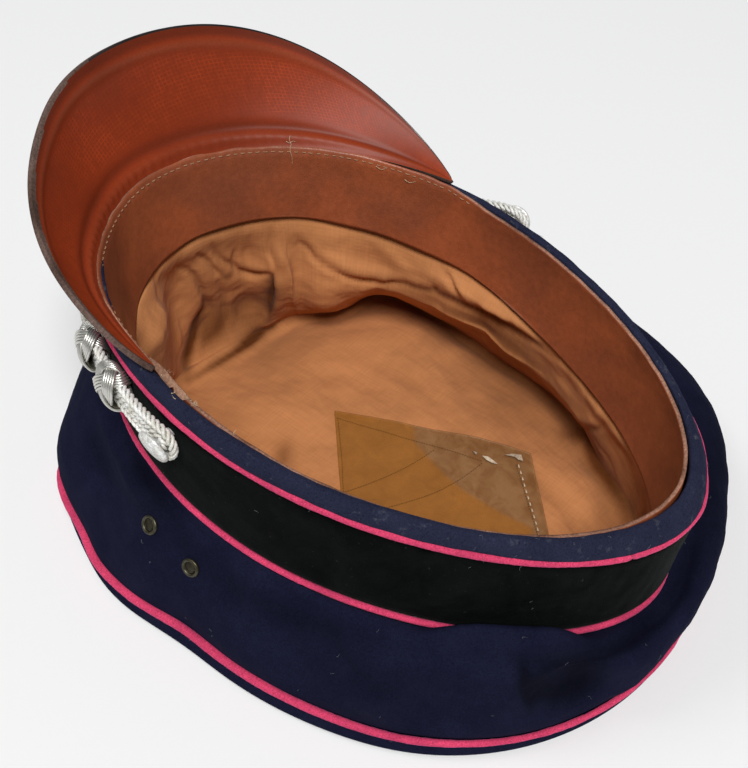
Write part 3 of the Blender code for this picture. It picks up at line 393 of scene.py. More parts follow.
# Painted shade in the lining's folds and dark hollows: half width in pixels, strength, pixels along
# it
PAINTED_SHADE_BANDS = (
    (13, 0.32, (400, 292), (425, 304), (450, 324), (480, 352), (512, 376), (540, 396),
     (560, 411), (576, 426)),
    (26, 0.20, (425, 318), (460, 345), (500, 378), (545, 412), (580, 450)),
    (10, 0.80, (566, 434), (588, 438), (598, 462), (612, 484), (624, 505), (626, 525)),
    (18, 0.35, (520, 372), (560, 400), (590, 450), (618, 500)),
    (9, 0.45, (642, 470), (640, 500), (632, 522)),
    (3.5, 0.75, (400, 286), (436, 291), (464, 302), (493, 315), (518, 328), (545, 342)),
    (12, 0.30, (450, 308), (500, 340), (548, 374)),
    (7, 0.95, (272, 282), (270, 305), (273, 324)),
    (7, 0.80, (238, 345), (254, 334), (268, 324)),
    (5, 0.75, (207, 312), (199, 325), (193, 340), (188, 358), (187, 378)),
    (12, 0.40, (202, 352), (216, 338), (240, 312)),
    (4, 0.90, (189, 381), (213, 366), (228, 357), (241, 349), (262, 333), (274, 327)),
    (3, 0.75, (300, 318), (339, 313), (361, 299), (387, 289)),
    (7, 0.45, (288, 441), (282, 455), (277, 469)),
    (24, 0.22, (480, 385), (515, 425), (560, 455)),
    (3, 0.60, (222, 272), (226, 277), (233, 272)),
)
# The shield in pixels: the line past which it is hazy, its seams, flakes and pale seam
SHIELD_HAZE = ((414, 443), (453, 483), (496, 511), (532, 529))
SHIELD_SEAMS = (
    ((337, 418), (360, 425), (385, 432), (408, 439), (434, 446), (458, 453), (481, 461)),
    ((338, 420), (340, 440), (342, 462), (343, 486), (344, 500)),
    ((331, 424), (333, 444), (335, 462)),
    ((434, 450), (412, 464), (390, 475), (368, 484), (345, 492)),
    ((482, 463), (468, 474), (452, 484), (434, 493), (414, 500), (386, 508)),
    ((516, 465), (522, 484), (528, 504), (533, 520), (539, 540)),
)
FLAKES = (
    ((504, 456), (512, 454), (521, 455), (522, 462), (518, 461), (514, 458)),
    ((482, 457), (488, 458), (497, 465), (492, 464), (486, 461)),
    ((472, 452), (477, 454), (476, 456)),
)
PALE_SEAM = ((518, 465), (522, 478), (526, 492), (531, 508), (537, 528), (539, 538))
STITCH_PITCH = 0.0029
STITCH_DROP = 0.0024         # the stitches lie this far below the sewn edge
STITCH_FROM, STITCH_TO = 186.0, 336.0
STITCH_LIFTS = (-0.0003, 0.00012, 0.00022, 0.00012, -0.0003)
PIPING_JOIN = 63.0           # turn where the ends of the lower piping meet
PIPING_THIN = (62.0, 36.0)   # turn and half width where the crown piping is pressed thin

# Loose threads seen along the sweatband: the pixels along each
THREADS = (
    ((290, 136), (289, 140), (291, 144), (290, 150), (292, 157), (292, 165)),
    ((286, 141), (289, 143), (293, 141), (296, 142)),
    ((376, 166), (381, 169), (387, 168)),
    ((405, 179), (410, 182), (416, 181)),
)
# Torn raw leather at the near horn, each scrap within its outline
TATTERS = (
    ((150, 357), (157, 362), (165, 369), (173, 379), (177, 387), (170, 388), (161, 378),
     (155, 368)),
    ((173, 379), (182, 387), (189, 394), (191, 400), (184, 399), (176, 391)),
    ((189, 394), (196, 399), (201, 406), (197, 410), (190, 404)),
    ((201, 405), (210, 413), (220, 421), (218, 424), (208, 417)),
)
THREAD_HOSTS = ("sweatband_leather", "peak_fibre", "rim_roll", "lining_side_cloth",
                "band_piping_lower_cloth")
# Pieces that lint clings to, and how many fibres
LINT_HOSTS = (("crown_side_cloth", 34), ("band_velvet", 18), ("rim_roll", 34),
              ("crown_piping_cloth", 16), ("band_piping_lower_cloth", 24))
# Frayed tufts: middle and spread in pixels, number of fibres
TUFTS = (((166, 374), 6, 12), ((180, 389), 7, 14), ((195, 402), 5, 22), ((233, 432), 3, 14))


# ---------------------------------------------------------------- forms

def read_rows(rows, turn, column):
    """Read a column of a table at any turn: a smooth closed curve through its rows."""
    at = np.array([row[0] for row in rows], float)
    values = np.array([row[column] for row in rows], float)
    turn = np.asarray(turn, float) % 360.0
    index = np.searchsorted(at, turn, side="right") - 1
    count = len(at)

    def place(step):
        return at[(index + step) % count] + 360.0 * ((index + step) // count)

    def value(step):
        return values[(index + step) % count]

    width = place(1) - place(0)
    share = (turn - place(0)) / width
    slope_in = (value(1) - value(-1)) / (place(1) - place(-1)) * width
    slope_out = (value(2) - value(0)) / (place(2) - place(0)) * width
    square = share * share
    cube = square * share
    return ((2 * cube - 3 * square + 1) * value(0) + (cube - 2 * square + share) * slope_in
            + (3 * square - 2 * cube) * value(1) + (cube - square) * slope_out)


def sine(turn):
    return np.sin(np.radians(turn))


def cosine(turn):
    return np.cos(np.radians(turn))


def stack(x, y, z):
    """Join three arrays of numbers to an array of points."""
    return np.stack(np.broadcast_arrays(x, y, z), axis=-1)


def turn_gap(one, other):
    """Signed smallest difference between two turns."""
    return (one - other + 180.0) % 360.0 - 180.0


def hump(gap, half_width):
    """A smooth hump: 1 at no gap, nearly 0 beyond twice the half width."""
    return 2.0 ** (-(gap / half_width) ** 2)


def local(rows, turn):
    """Sum of a table of local changes: rows of turn, half width and amount."""
    return sum(amount * hump(turn_gap(turn, at), width) for at, width, amount in rows)


def ridges(rows, place):
    """Sum of a table of straight ridges: rows of place, half width and amount."""
    return sum(amount * hump(place - at, width) for at, width, amount in rows)


def sum_humps(rows, turn, place):
    """Sum of a table of folds over a cloth wall."""
    total = 0.0
    for at, width, height, spread, depth in rows:
        total = total + depth * hump(turn_gap(turn, at), width) * hump(place - height, spread)
    return total


def oval(turn, offset=0.0):
    """Plan points on the band's oval, moved outwards by offset."""
    c, s = cosine(turn), sine(turn)
    x = (OPENING_WIDTH / 2 + offset) * np.sign(c) * abs(c) ** OVAL_POWER * (1 + OPENING_EGG * s)
    y = (OPENING_LENGTH / 2 + offset) * np.sign(s) * abs(s) ** OVAL_POWER
    return x * cosine(BAND_TURN) - y * sine(BAND_TURN), x * sine(BAND_TURN) + y * cosine(BAND_TURN)


def oval_out(turn):
    """Outward direction in plan, square to the band's oval."""
    ahead, behind = oval(turn + 0.5), oval(turn - 0.5)
    x, y = ahead[1] - behind[1], behind[0] - ahead[0]
    length = np.hypot(x, y)
    return x / length, y / length


def rim_lift(x, y):
    """Height that the tilt of the rim adds at a plan point."""
    return x * np.tan(radians(RIM_ROLL)) - y * np.tan(radians(RIM_PITCH))


def rim_point(turn, height, offset):
    """Points of the band: height above the lower piping, offset outwards from its line."""
    x, y = oval(turn, offset)
    wave = RIM_WAVE * cosine(2 * turn) - RIM_FRONT_DIP * np.maximum(-sine(turn), 0.0) ** 2
    kept = 1.0 - RIM_WAVE_LOSS * np.clip(-height / BAND_HEIGHT, 0.0, 1.0)
    return stack(x, y, RIM_HEIGHT + height + rim_lift(x, y) + kept * wave)


def band_offset(height):
    """Line of the pipings between the two: the band narrows towards the crown."""
    return -BAND_TAPER * np.clip(-height / BAND_HEIGHT, 0.0, 1.0)


def crown_point(turn, reach, height):
    """Points at a turn and a reach about the middle of the crown."""
    return stack(CROWN_CENTRE[0] + reach * cosine(turn), CROWN_CENTRE[1] + reach * sine(turn),
                 height)


def edge_reach(turn):
    """Reach of the crown piping."""
    return CROWN_REACH * read_rows(CROWN_EDGE_ROWS, turn, 1)


def edge_height(turn):
    """Height of the crown piping above the floor."""
    return EDGE_HEIGHT * read_rows(CROWN_EDGE_ROWS, turn, 2)


def crown_turn(points):
    """Turn of points about the middle of the crown."""
    return np.degrees(np.arctan2(points[..., 1] - CROWN_CENTRE[1],
                                 points[..., 0] - CROWN_CENTRE[0])) % 360.0


def side_point(oval_turn, place):
    """Face of the crown side: place 0 is at the band, 1 at the crown piping."""
    top = rim_point(oval_turn, -BAND_HEIGHT - SEAM_DROP * (PIPING_RADIUS + CLEARANCE),
                    -BAND_TAPER)
    turn = crown_turn(top)
    out = stack(cosine(turn), sine(turn), 0.0)
    up = np.array((0.0, 0.0, 1.0))
    seam = EDGE_PIPING_RADIUS + CLEARANCE
    low = crown_point(turn, edge_reach(turn) - SEAM_IN * seam, edge_height(turn) + SEAM_UP * seam)
    lead = [SIDE_PUFF * read_rows(SIDE_ROWS, turn, column)[..., None] for column in (1, 2, 3, 4)]
    near_band = top + out * lead[0] + up * lead[1]
    near_edge = low + out * lead[2] + up * lead[3]
    share = np.asarray(place, float)[..., None]
    rest = 1.0 - share
    points = (top * rest ** 3 + near_band * 3 * rest ** 2 * share
              + near_edge * 3 * rest * share ** 2 + low * share ** 3)
    hold = np.minimum(1.0, FOLD_FADE * np.minimum(place, 1.0 - place))
    fold = SIDE_FOLD * sum_humps(BROAD_FOLD_ROWS, turn, place) * hold
    return points + (out * cosine(FOLD_SLANT) + up * sine(FOLD_SLANT)) * fold[..., None]


def crown_side_turn(turn):
    """Turn on the band's oval of the side point that lies at a turn about the crown."""
    guess = turn
    for _ in range(12):
        top = rim_point(np.array(guess), np.array(-BAND_HEIGHT), -BAND_TAPER)
        guess += turn_gap(turn, float(crown_turn(top)))
    return guess


def lobe_push(turn, place):
    """How far the gathered lobes stand inwards from the wall."""
    hold = np.minimum(np.minimum(1.0, LOBE_FADE * (place - LOBE_START)),
                      LOBE_AT_CREASE + LOBE_FADE * (1 - place))
    return LINING_LOBE * sum_humps(LOBE_ROWS, turn, place) * np.maximum(hold, 0.0)


def lining_point(turn, place):
    """Face of the side lining: place 0 behind the sweatband, 1 at the crease."""
    pocket = band_offset(-BAND_HEIGHT) + BAND_PROUD - BAND_WALL - POCKET_GAP - LINING_WALL
    top = rim_point(turn, free_edge(turn) + LINING_TUCK, pocket)
    neck = rim_point(turn, -BAND_HEIGHT - LINING_NECK, pocket)
    x, y = oval(turn, 0.0)
    out_x, out_y = oval_out(turn)
    reach = read_rows(CREASE_ROWS, turn, 1)
    low = stack(x + out_x * reach, y + out_y * reach, CREASE_HEIGHT)
    upper = np.clip(place / NECK_PLACE, 0.0, 1.0)[..., None]
    lower = np.clip((place - NECK_PLACE) / (1 - NECK_PLACE), 0.0, 1.0)[..., None]
    foot = neck.copy()
    foot[..., 2] = low[..., 2]
    bend = neck + (foot - neck) * (LINING_BEND - local(LOW_BENDS, turn))[..., None]
    one = neck + (bend - neck) * lower
    other = bend + (low - bend) * lower
    points = np.where(lower > 0, one + (other - one) * lower, top + (neck - top) * upper)
    return points - stack(out_x, out_y, 0.0) * lobe_push(turn, place)[..., None]


def binding_top():
    """Height of the rolled cloth edge above the lower piping."""
    return PIPING_RADIUS + CLEARANCE + BINDING_HEIGHT


def leather_offset():
    """Outer face of the sweatband, clear of the band and the rolled edge."""
    return BAND_PROUD + BINDING_PROUD - BINDING_WALL - CLEARANCE


def between_horns(turn):
    """1 where the peak is sewn to the sweatband, fading to 0 past its horns."""
    return 1.0 - np.clip((abs(turn_gap(turn, PEAK_MIDDLE)) - PEAK_HALF) / HORN_FADE, 0.0, 1.0)


def roll_lean(turn):
    """How far the rolled edge leans inwards: it has sagged at the rear."""
    return local(ROLL_LEANS, turn)


def near_swell(turn):
    """The leather and the peak lie further out over the rolled edge by the near horn."""
    return local(NEAR_SWELLS, turn)


def sewn_edge(turn):
    """Height of the sewn edge of the sweatband above the lower piping."""
    share = between_horns(turn)
    sink = SWEATBAND_SINK + local(NEAR_SINKS, turn)
    return binding_top() + SWEATBAND_RISE * share - sink * (1.0 - share)


def free_edge(turn):
    """Height of the free edge of the sweatband, from the lower piping."""
    high = np.maximum(cosine(turn - SWEATBAND_SHALLOW_TURN), 0.0) ** 2
    high = SWEATBAND_SHALLOW * high + local(FREE_EDGE_RISES, turn)
    return binding_top() - SWEATBAND_DEPTH + high


def leather_point(turn, share):
    """Face of the sweatband towards the head: share 0 at its sewn edge, 1 at its free edge."""
    top = sewn_edge(turn)
    height = top + share * (free_edge(turn) - top)
    lean = SWEATBAND_LEAN * share * (0.75 + 0.25 * share)
    joined, rest = between_horns(turn), 1.0 - share
    inwards = roll_lean(turn) + RAW_EDGE_IN * (1.0 - joined)
    over = (RAW_EDGE_OVER * joined * hump(share, 0.025) + near_swell(turn) * rest ** 3
            - inwards * rest ** 2)
    return rim_point(turn, height,
                     leather_offset() + band_offset(height) - lean - SWEATBAND_WALL + over)


def peak_point(across, depth):
    """Underside of the peak: across -1 to 1 from the wearer's left, depth 0 root to 1 edge."""
    turn = PEAK_MIDDLE + PEAK_HALF * across
    slope = np.radians(PEAK_SLOPE + (PEAK_HORN_SLOPE - PEAK_SLOPE) * across ** 2
                       + PEAK_SLOPE_TWIST * across)
    root = rim_point(turn, binding_top() + 2 * CLEARANCE + PEAK_WALL * np.cos(slope),
                     leather_offset() + 2 * CLEARANCE + near_swell(turn))
    out_x, out_y = oval_out(turn)
    head_x = out_x * (1 - PEAK_FORWARD)
    head_y = out_y * (1 - PEAK_FORWARD) - PEAK_FORWARD
    length = np.hypot(head_x, head_y)
    head_x, head_y = head_x / length, head_y / length
    fall = np.maximum(1 - abs(across) ** (PEAK_FALL + PEAK_FALL_SKEW * across), 0.0) ** PEAK_ROUND
    length = HORN_TIP + (PEAK_DEPTH * (1 + PEAK_SKEW * across) - HORN_TIP) * fall
    length = length - near_swell(turn)
    bow = PEAK_BOW * 4 * depth * (1 - depth) * fall
    run = length * np.cos(slope) * depth + bow * np.sin(slope)
    x, y = root[..., 0] + head_x * run, root[..., 1] + head_y * run
    lift = rim_lift(x, y) - rim_lift(root[..., 0], root[..., 1])
    return stack(x, y, root[..., 2] + length * np.sin(slope) * depth + lift - bow * np.cos(slope))


def cord_offset():
    """Middle of the chin cord outside the line of the pipings: it leaves room for the slides."""
    return BAND_PROUD + 3 * CLEARANCE + SLIDE_BACK * SLIDE_WALL + CORD_DIAMETER / 2


def cord_point(turn, shift=0.0):
    """Point on the cord's surface of travel, shifted towards the rim."""
    turn = np.asarray(turn, float)
    share = np.clip((CORD_RISE_TURN - turn) / (CORD_RISE_TURN - BUTTON_FAR_TURN), 0.0, 1.0)
    height = CORD_HEIGHT + CORD_FAR_RISE * (3 - 2 * share) * share ** 2 + shift
    return rim_point(turn, height, cord_offset() + band_offset(height))


def plan_out(turn):
    """Outward direction at one turn, as a vector."""
    x, y = oval_out(np.array(turn))
    return Vector((float(x), float(y), 0.0))


def cord_frame(turn):
    """Middle of the two runs, with its along, up and out directions."""
    point = Vector(cord_point(turn))
    along = (Vector(cord_point(turn + 0.5)) - point).normalized()
    out = plan_out(turn)
    up = out.cross(along).normalized()
    if up.z < 0:
        up.negate()
    return point, along, up, out


def cord_spread(turn):
    """Half the distance between the two runs: they part to pass round the buttons."""
    loop = SHANK_RADIUS + CLEARANCE + CORD_DIAMETER / 2
    near = max(hump(turn_gap(turn, button), CORD_PART_TURN)
               for button in (BUTTON_NEAR_TURN, BUTTON_FAR_TURN))
    return CORD_SPACING / 2 + (loop - CORD_SPACING / 2) * near


# ---------------------------------------------------------------- meshes

def activate(piece):
    """Select one object alone and make it the active one."""
    bpy.ops.object.select_all(action="DESELECT")
    piece.select_set(True)
    bpy.context.view_layer.objects.active = piece


def edit(piece, *steps):
    """Run edit-mode operators on all of a piece: pairs of operator and its settings."""
    activate(piece)
    bpy.ops.object.mode_set(mode="EDIT")
    for step, settings in steps:
        bpy.ops.mesh.select_all(action="SELECT")
        step(**settings)
    bpy.ops.object.mode_set(mode="OBJECT")


def face_outwards(piece):
    """Point the faces of a closed piece outwards."""
    edit(piece, (bpy.ops.mesh.normals_make_consistent, {"inside": False}))


def read_points(piece, field="co"):
    """Corners of a mesh, or their normals, as an array."""
    points = np.empty(len(piece.data.vertices) * 3)
    piece.data.vertices.foreach_get(field, points)
    return points.reshape(-1, 3)


def put_points(piece, points):
    """Write the corners of a mesh back."""
    piece.data.vertices.foreach_set("co", np.asarray(points, dtype=np.float32).ravel())
    piece.data.update()


def read_shares(piece):
    """The two shares that each corner of a laid piece was placed by."""
    layer = piece.data.attributes["share"]
    shares = np.empty(len(piece.data.vertices) * 2)
    layer.data.foreach_get("vector", shares)
    shares = shares.reshape(-1, 2)
    return shares[:, 0], shares[:, 1]


def path_length(path):
    """Length of a path."""
    return np.linalg.norm(np.diff(path, axis=0), axis=1).sum()


def run_along(path):
    """Distance run at each point of a path."""
    return np.concatenate(([0], np.cumsum(np.linalg.norm(np.diff(path, axis=0), axis=1))))


def read_path(path, along, at):
    """Points of a path at given distances along it."""
    return np.stack([np.interp(at, along, path[:, axis]) for axis in range(path.shape[1])], 1)


def within(place, steepness):
    """1 within a wall, falling to 0 at both its edges."""
    return np.clip(steepness * np.minimum(place, 1.0 - place), 0.0, 1.0)


def store(piece, name, values):
    """Store a value at each corner of a piece, for its material."""
    layer = piece.data.attributes.new(name, "FLOAT", "POINT")
    layer.data.foreach_set("value", values.astype(np.float32))


def lay_weave(piece, places):
    """Lay the weave of a piece by a place in metres for each corner."""
    corners = np.empty(len(piece.data.loops), dtype=int)
    piece.data.loops.foreach_get("vertex_index", corners)
    layer = piece.data.uv_layers[0]
    layer.name = "weave"
    layer.data.foreach_set("uv", places[corners].astype(np.float32).ravel())


def link_object(name, data):
    """New object in the scene."""
    item = bpy.data.objects.new(name, data)
    bpy.context.scene.collection.objects.link(item)
    return item


def face_up(piece):
    """Point the faces of an open sheet upwards."""
    if read_points(piece, "normal")[:, 2].mean() < 0:
        edit(piece, (bpy.ops.mesh.flip_normals, {}))


def lay(name, columns, rows, shape, dense=None, flip=False, closed=True, pull=0.07):
    """Grid primitive laid on a form: shape(u, v) gives its points for shares from 0 to 1.
    Near the turn dense its columns stand closer."""
    bpy.ops.object.select_all(action="DESELECT")
    bpy.ops.mesh.primitive_grid_add(x_subdivisions=columns, y_subdivisions=rows, size=1.0)
    piece = bpy.context.object
    piece.name = name
    flat = read_points(piece)
    u, v = np.clip(flat[:, 0] + 0.5, 0, 1), np.clip(flat[:, 1] + 0.5, 0, 1)
    pulled = u if dense is None else u - pull * np.sin(2 * np.pi * (u - dense / 360.0))
    put_points(piece, shape(pulled, v))
    shares = piece.data.attributes.new("share", "FLOAT2", "POINT")
    shares.data.foreach_set("vector", np.stack((pulled, v), 1).astype(np.float32).ravel())
    run = np.linspace(0, 1, 200)
    width = path_length(shape(run, np.full(200, 0.5)))
    height = path_length(shape(np.full(200, 0.3), run))
    lay_weave(piece, np.stack((pulled * width, v * height), 1))
    steps = []
    if closed:
        steps.append((bpy.ops.mesh.remove_doubles, {"threshold": MERGE}))
    if flip:
        steps.append((bpy.ops.mesh.flip_normals, {}))
    if steps:
        edit(piece, *steps)
    bpy.ops.object.shade_smooth()
    return piece


def modify(piece, kind, **values):
    """Add a modifier to a piece and apply it."""
    activate(piece)
    modifier = piece.modifiers.new(kind, kind)
    for key, value in values.items():
        setattr(modifier, key, value)
    bpy.ops.object.modifier_apply(modifier=modifier.name)


def thicken(piece, wall, **values):
    """Give a sheet its thickness, behind its face; offsets of material need their slots."""
    for _ in range(3 if "material_offset_rim" in values else 0):
        piece.data.materials.append(None)
    modify(piece, "SOLIDIFY", thickness=wall, offset=-1.0, **values)


def push(piece, amount):
    """Move each corner along its normal."""
    put_points(piece, read_points(piece) + read_points(piece, "normal") * amount[:, None])


def waves(points, pitch, seed):
    """Smooth seeded wave between about -1 and 1 at each point, for uneven cloth."""
    random = np.random.default_rng(seed)
    total = np.zeros(len(points))
    for _ in range(WAVE_COUNT):
        direction = random.normal(size=3)
        direction /= np.linalg.norm(direction)
        length = pitch * random.uniform(0.65, 1.6)
        total += np.sin(points @ direction * 2 * np.pi / length + random.uniform(0, 2 * np.pi))
    return total / WAVE_COUNT ** 0.5 / 1.4


def seen_at(points):
    """Pixels of the photograph where points are seen."""
    away = np.asarray(points) - CAMERA_PLACE
    depth = -(away @ CAMERA_BACK)
    return np.stack((CENTRE_PIXELS[0] + FOCAL_PIXELS * (away @ CAMERA_RIGHT) / depth,
                     CENTRE_PIXELS[1] - FOCAL_PIXELS * (away @ CAMERA_UP) / depth), 1)


def sight(pixel):
    """Direction in which a pixel of the photograph looks."""
    x = (pixel[0] - CENTRE_PIXELS[0]) / FOCAL_PIXELS
    y = (CENTRE_PIXELS[1] - pixel[1]) / FOCAL_PIXELS
    return (Vector(CAMERA_RIGHT) * x + Vector(CAMERA_UP) * y - Vector(CAMERA_BACK)).normalized()


def smooth_path(path, count):
    """Points spread evenly along a smooth curve through a path."""
    path = np.asarray(path, float)
    if len(path) > 2:
        ends = np.vstack((2 * path[0] - path[1], path, 2 * path[-1] - path[-2]))
        path = np.vstack((curve_through(ends), path[-1:]))
    along = run_along(path)
    return read_path(path, along, np.linspace(0, along[-1], count))


def curve_through(points):
    """Smooth curve through all points but the first and the last."""
    share = np.linspace(0, 1, 10, endpoint=False)[:, None]
    return np.vstack([0.5 * (2 * b + (c - a) * share + (2 * a - 5 * b + 4 * c - d) * share ** 2
                             + (3 * b - a - 3 * c + d) * share ** 3)
                      for a, b, c, d in zip(points, points[1:], points[2:], points[3:])])


def fold_field(piece, rows):
    """Height of traced folds at each corner, on the cloth that faces the camera."""
    points = read_points(piece)
    pixels = seen_at(points)
    facing = read_points(piece, "normal") @ CAMERA_BACK
    total = np.zeros(len(points))
    for width, height, *path in rows:
        line = smooth_path(path, 4 * len(path) + 8)
        low, high = line.min(0) - 3 * width, line.max(0) + 3 * width
        near = np.flatnonzero(((pixels > low) & (pixels < high)).all(1))
        if not len(near):
            continue
        gaps = np.linalg.norm(pixels[near, None] - line[None], axis=2)
        closest = gaps.argmin(1)
        taper = 0.35 + 0.65 * np.sin(np.pi * closest / (len(line) - 1))
        gap = gaps[np.arange(len(near)), closest]
        total[near] += 0.001 * height * taper * hump(gap, width * (0.6 + 0.4 * taper))
    return total * np.clip(0.35 + 1.3 * facing, 0.0, 1.0)


def paint_fold_shade(piece, folds):
    """Store painted shade at each corner of the lining: darker along its hollow folds and in dark
    places.
    """
    amount = np.clip(-fold_field(piece, folds) / 0.0030, 0, 1) ** 1.5 * 0.45
    amount = amount + fold_field(piece, PAINTED_SHADE_BANDS) * 1000
    store(piece, "painted_shade", np.clip(amount, 0, 0.95))


def tubes(name, paths, radius, closed=False, resolution=1):
    """Round threads along paths, as one mesh; a path's fourth number, if any, thins it."""
    curve = bpy.data.curves.new(name, "CURVE")
    curve.dimensions = "3D"
    curve.bevel_depth = radius
    curve.bevel_resolution = resolution
    curve.use_fill_caps = True
    for path in paths:
        path = np.asarray(path, float)
        spline = curve.splines.new("POLY")
        spline.points.add(len(path) - 1)
        place = np.ones((len(path), 4))
        place[:, :3] = path[:, :3]
        spline.points.foreach_set("co", place.astype(np.float32).ravel())
        if path.shape[1] == 4:
            spline.points.foreach_set("radius", path[:, 3].astype(np.float32))
        spline.use_cyclic_u = closed
    activate(link_object(name, curve))
    bpy.ops.object.convert(target="MESH")
    piece = bpy.context.object
    edit(piece, (bpy.ops.mesh.remove_doubles, {"threshold": 0.000001}))
    face_outwards(piece)
    bpy.ops.object.shade_smooth()
    return piece


def surface_of(*pieces):
    """Ray-casting tree of finished pieces."""
    corners, faces = [], []
    for piece in pieces:
        start = len(corners)
        corners += [vertex.co.copy() for vertex in piece.data.vertices]
        faces += [[start + index for index in face.vertices] for face in piece.data.polygons]
    return BVHTree.FromPolygons(corners, faces)


def on_surface(tree, pixel, lift):
    """Point of a surface seen at a pixel, lifted off it."""
    hit, normal, _, _ = tree.ray_cast(Vector(CAMERA_PLACE), sight(pixel))
    if hit is None:
        return None
    if normal.dot(Vector(CAMERA_BACK)) < 0:
        normal = -normal
    return hit + normal * lift


def hold_depth(tree, pixels, lift):
    """Points of a surface at a row of pixels; past its edge they keep near their neighbours."""
    eye = Vector(CAMERA_PLACE)
    found = [(on_surface(tree, pixel, lift), pixel) for pixel in pixels]
    found = [pair for pair in found if pair[0] is not None]
    far = [(spot - eye).length for spot, _ in found]
    held = list(far)
    for order in (range(1, len(far)), range(len(far) - 2, -1, -1)):
        side = -1 if order.step > 0 else 1
        for index in order:
            held[index] = min(held[index], held[index + side] + DEPTH_STEP)
    return [spot if near == away else eye + sight(pixel) * near
            for (spot, pixel), near, away in zip(found, held, far)]


def scraps(name, tree, outlines):
    """Thin scraps laid on a surface, each within an outline of pixels."""
    pieces = []
    for outline in outlines:
        corners = hold_depth(tree, outline, SCRAP_LIFT)
        if len(corners) < 3:
            continue
        mesh = bpy.data.meshes.new("scrap")
        mesh.from_pydata(corners, [], [range(len(corners))])
        piece = link_object("scrap", mesh)
        edit(piece, (bpy.ops.mesh.subdivide, {"number_cuts": 2}))
        thicken(piece, SCRAP_WALL)
        pieces.append(piece)
    return join(name, *pieces)


def join(name, *pieces):
    """Join pieces to one mesh."""
    activate(pieces[0])
    for piece in pieces[1:]:
        piece.select_set(True)
    if len(pieces) > 1:
        bpy.ops.object.join()
    pieces[0].name = name
    return pieces[0]


def settle(piece, name, materials, *nodes, slot=None):
    """Name a finished piece, give it its materials and seat it on the frame."""
    piece.name = name
    piece.data.name = name
    share = piece.data.attributes.get("share")
    if share:
        piece.data.attributes.remove(share)
    kinds = np.empty(len(piece.data.polygons), dtype=np.int32)
    piece.data.polygons.foreach_get("material_index", kinds)
    piece.data.materials.clear()
    for material in materials if isinstance(materials, (list, tuple)) else (materials,):
        piece.data.materials.append(material)
    last = len(piece.data.materials) - 1
    piece.data.polygons.foreach_set("material_index", np.minimum(kinds, last))
    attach(piece, BODY)
    if nodes:
        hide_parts(*nodes)
    return piece


def take_copy(node):
    """Copy of a CAD node's mesh, with its triangles merged and joined into four-sided faces."""
    piece = link_object("new_" + node, frame["nodes"][node].data.copy())
    activate(piece)
    bpy.ops.mesh.customdata_custom_splitnormals_clear()
    edit(piece, (bpy.ops.mesh.remove_doubles, {"threshold": 0.00002}),
         (bpy.ops.mesh.tris_convert_to_quads, {"face_threshold": radians(60),
                                              "shape_threshold": radians(60)}),
         (bpy.ops.mesh.mark_sharp, {"clear": True}))
    bpy.ops.object.shade_smooth()
    return piece


def hold_corners(piece):
    """Hold the sharp corners of a piece against smoothing."""
    activate(piece)
    bpy.ops.object.mode_set(mode="EDIT")
    bpy.ops.mesh.select_mode(type="EDGE")
    bpy.ops.mesh.select_all(action="DESELECT")
    bpy.ops.mesh.edges_select_sharp(sharpness=radians(55))
    bpy.ops.transform.edge_crease(value=0.9)
    bpy.ops.object.mode_set(mode="OBJECT")


def turned(name, middle, along, up, out, profile, sides):
    """Turn a profile of (radius, height) points about an axis, as a closed solid."""
    profile = np.asarray(profile, float)
    at = np.linspace(0.0, 1.0, len(profile))

    def shape(u, v):
        reach = np.interp(v, at, profile[:, 0])
        height = np.interp(v, at, profile[:, 1])
        angle = 2 * np.pi * u
        return (np.array(middle) + np.array(out) * height[..., None]
                + np.array(along) * (reach * np.cos(angle))[..., None]
                + np.array(up) * (reach * np.sin(angle))[..., None])

    piece = lay(name, sides, len(profile) - 1, shape)
    face_outwards(piece)
    return piece


# ---------------------------------------------------------------- materials

SHADER_SOCKETS = {"roughness": "Roughness", "specular": "Specular IOR Level",
                  "sheen": "Sheen Weight", "sheen_roughness": "Sheen Roughness",
                  "sheen_tint": "Sheen Tint", "metallic": "Metallic", "coat": "Coat Weight",
                  "coat_roughness": "Coat Roughness", "alpha": "Alpha"}
WHITE = (1.0, 1.0, 1.0)


def feed(value, socket):
    """Link an output to an input, or give the input a plain value."""
    if isinstance(value, bpy.types.NodeSocket):
        socket.id_data.links.new(value, socket)
    elif socket.type == "RGBA":
        socket.default_value = (*value, 1.0)
    else:
        socket.default_value = value


def add_node(near, kind, inputs=None, output=0, **settings):
    """Add a node to the tree of another node or socket; gives one of its outputs."""
    node = near.id_data.nodes.new(kind)
    for key, value in settings.items():
        setattr(node, key, value)
    for key, value in (inputs or {}).items():
        feed(value, node.inputs[key])
    return node.outputs[output]


def start_material(name, roughness, **sockets):
    """New material and its shader, with plain values on the shader's own sockets."""
    material = bpy.data.materials.new(name)
    material.use_nodes = True
    shader = material.node_tree.nodes["Principled BSDF"]
    for key, value in {"roughness": roughness, **sockets}.items():
        feed(value, shader.inputs[SHADER_SOCKETS[key]])
    return material, shader


def finish(material, shader, colour, *layers):
    """Wire colour and bumps to a shader: layers of (height, strength, distance), coarse first."""
    feed(colour, shader.inputs["Base Color"])
    normal = None
    for height, strength, distance in layers:
        inputs = {"Height": height, "Strength": strength, "Distance": distance}
        if normal is not None:
            inputs["Normal"] = normal
        normal = add_node(shader, "ShaderNodeBump", inputs)
    feed(normal, shader.inputs["Normal"])
    return material


def coordinates(near, scale=(1.0, 1.0, 1.0), uv=False, turn=0.0):
    """Object coordinates, or the piece's own UV map, through a Mapping node."""
    if uv:
        source = add_node(near, "ShaderNodeUVMap", uv_map="weave")
    else:
        source = add_node(near, "ShaderNodeTexCoord", output="Object")
    return add_node(near, "ShaderNodeMapping", {"Vector": source, "Scale": scale,
                                                "Rotation": (0.0, 0.0, radians(turn))})


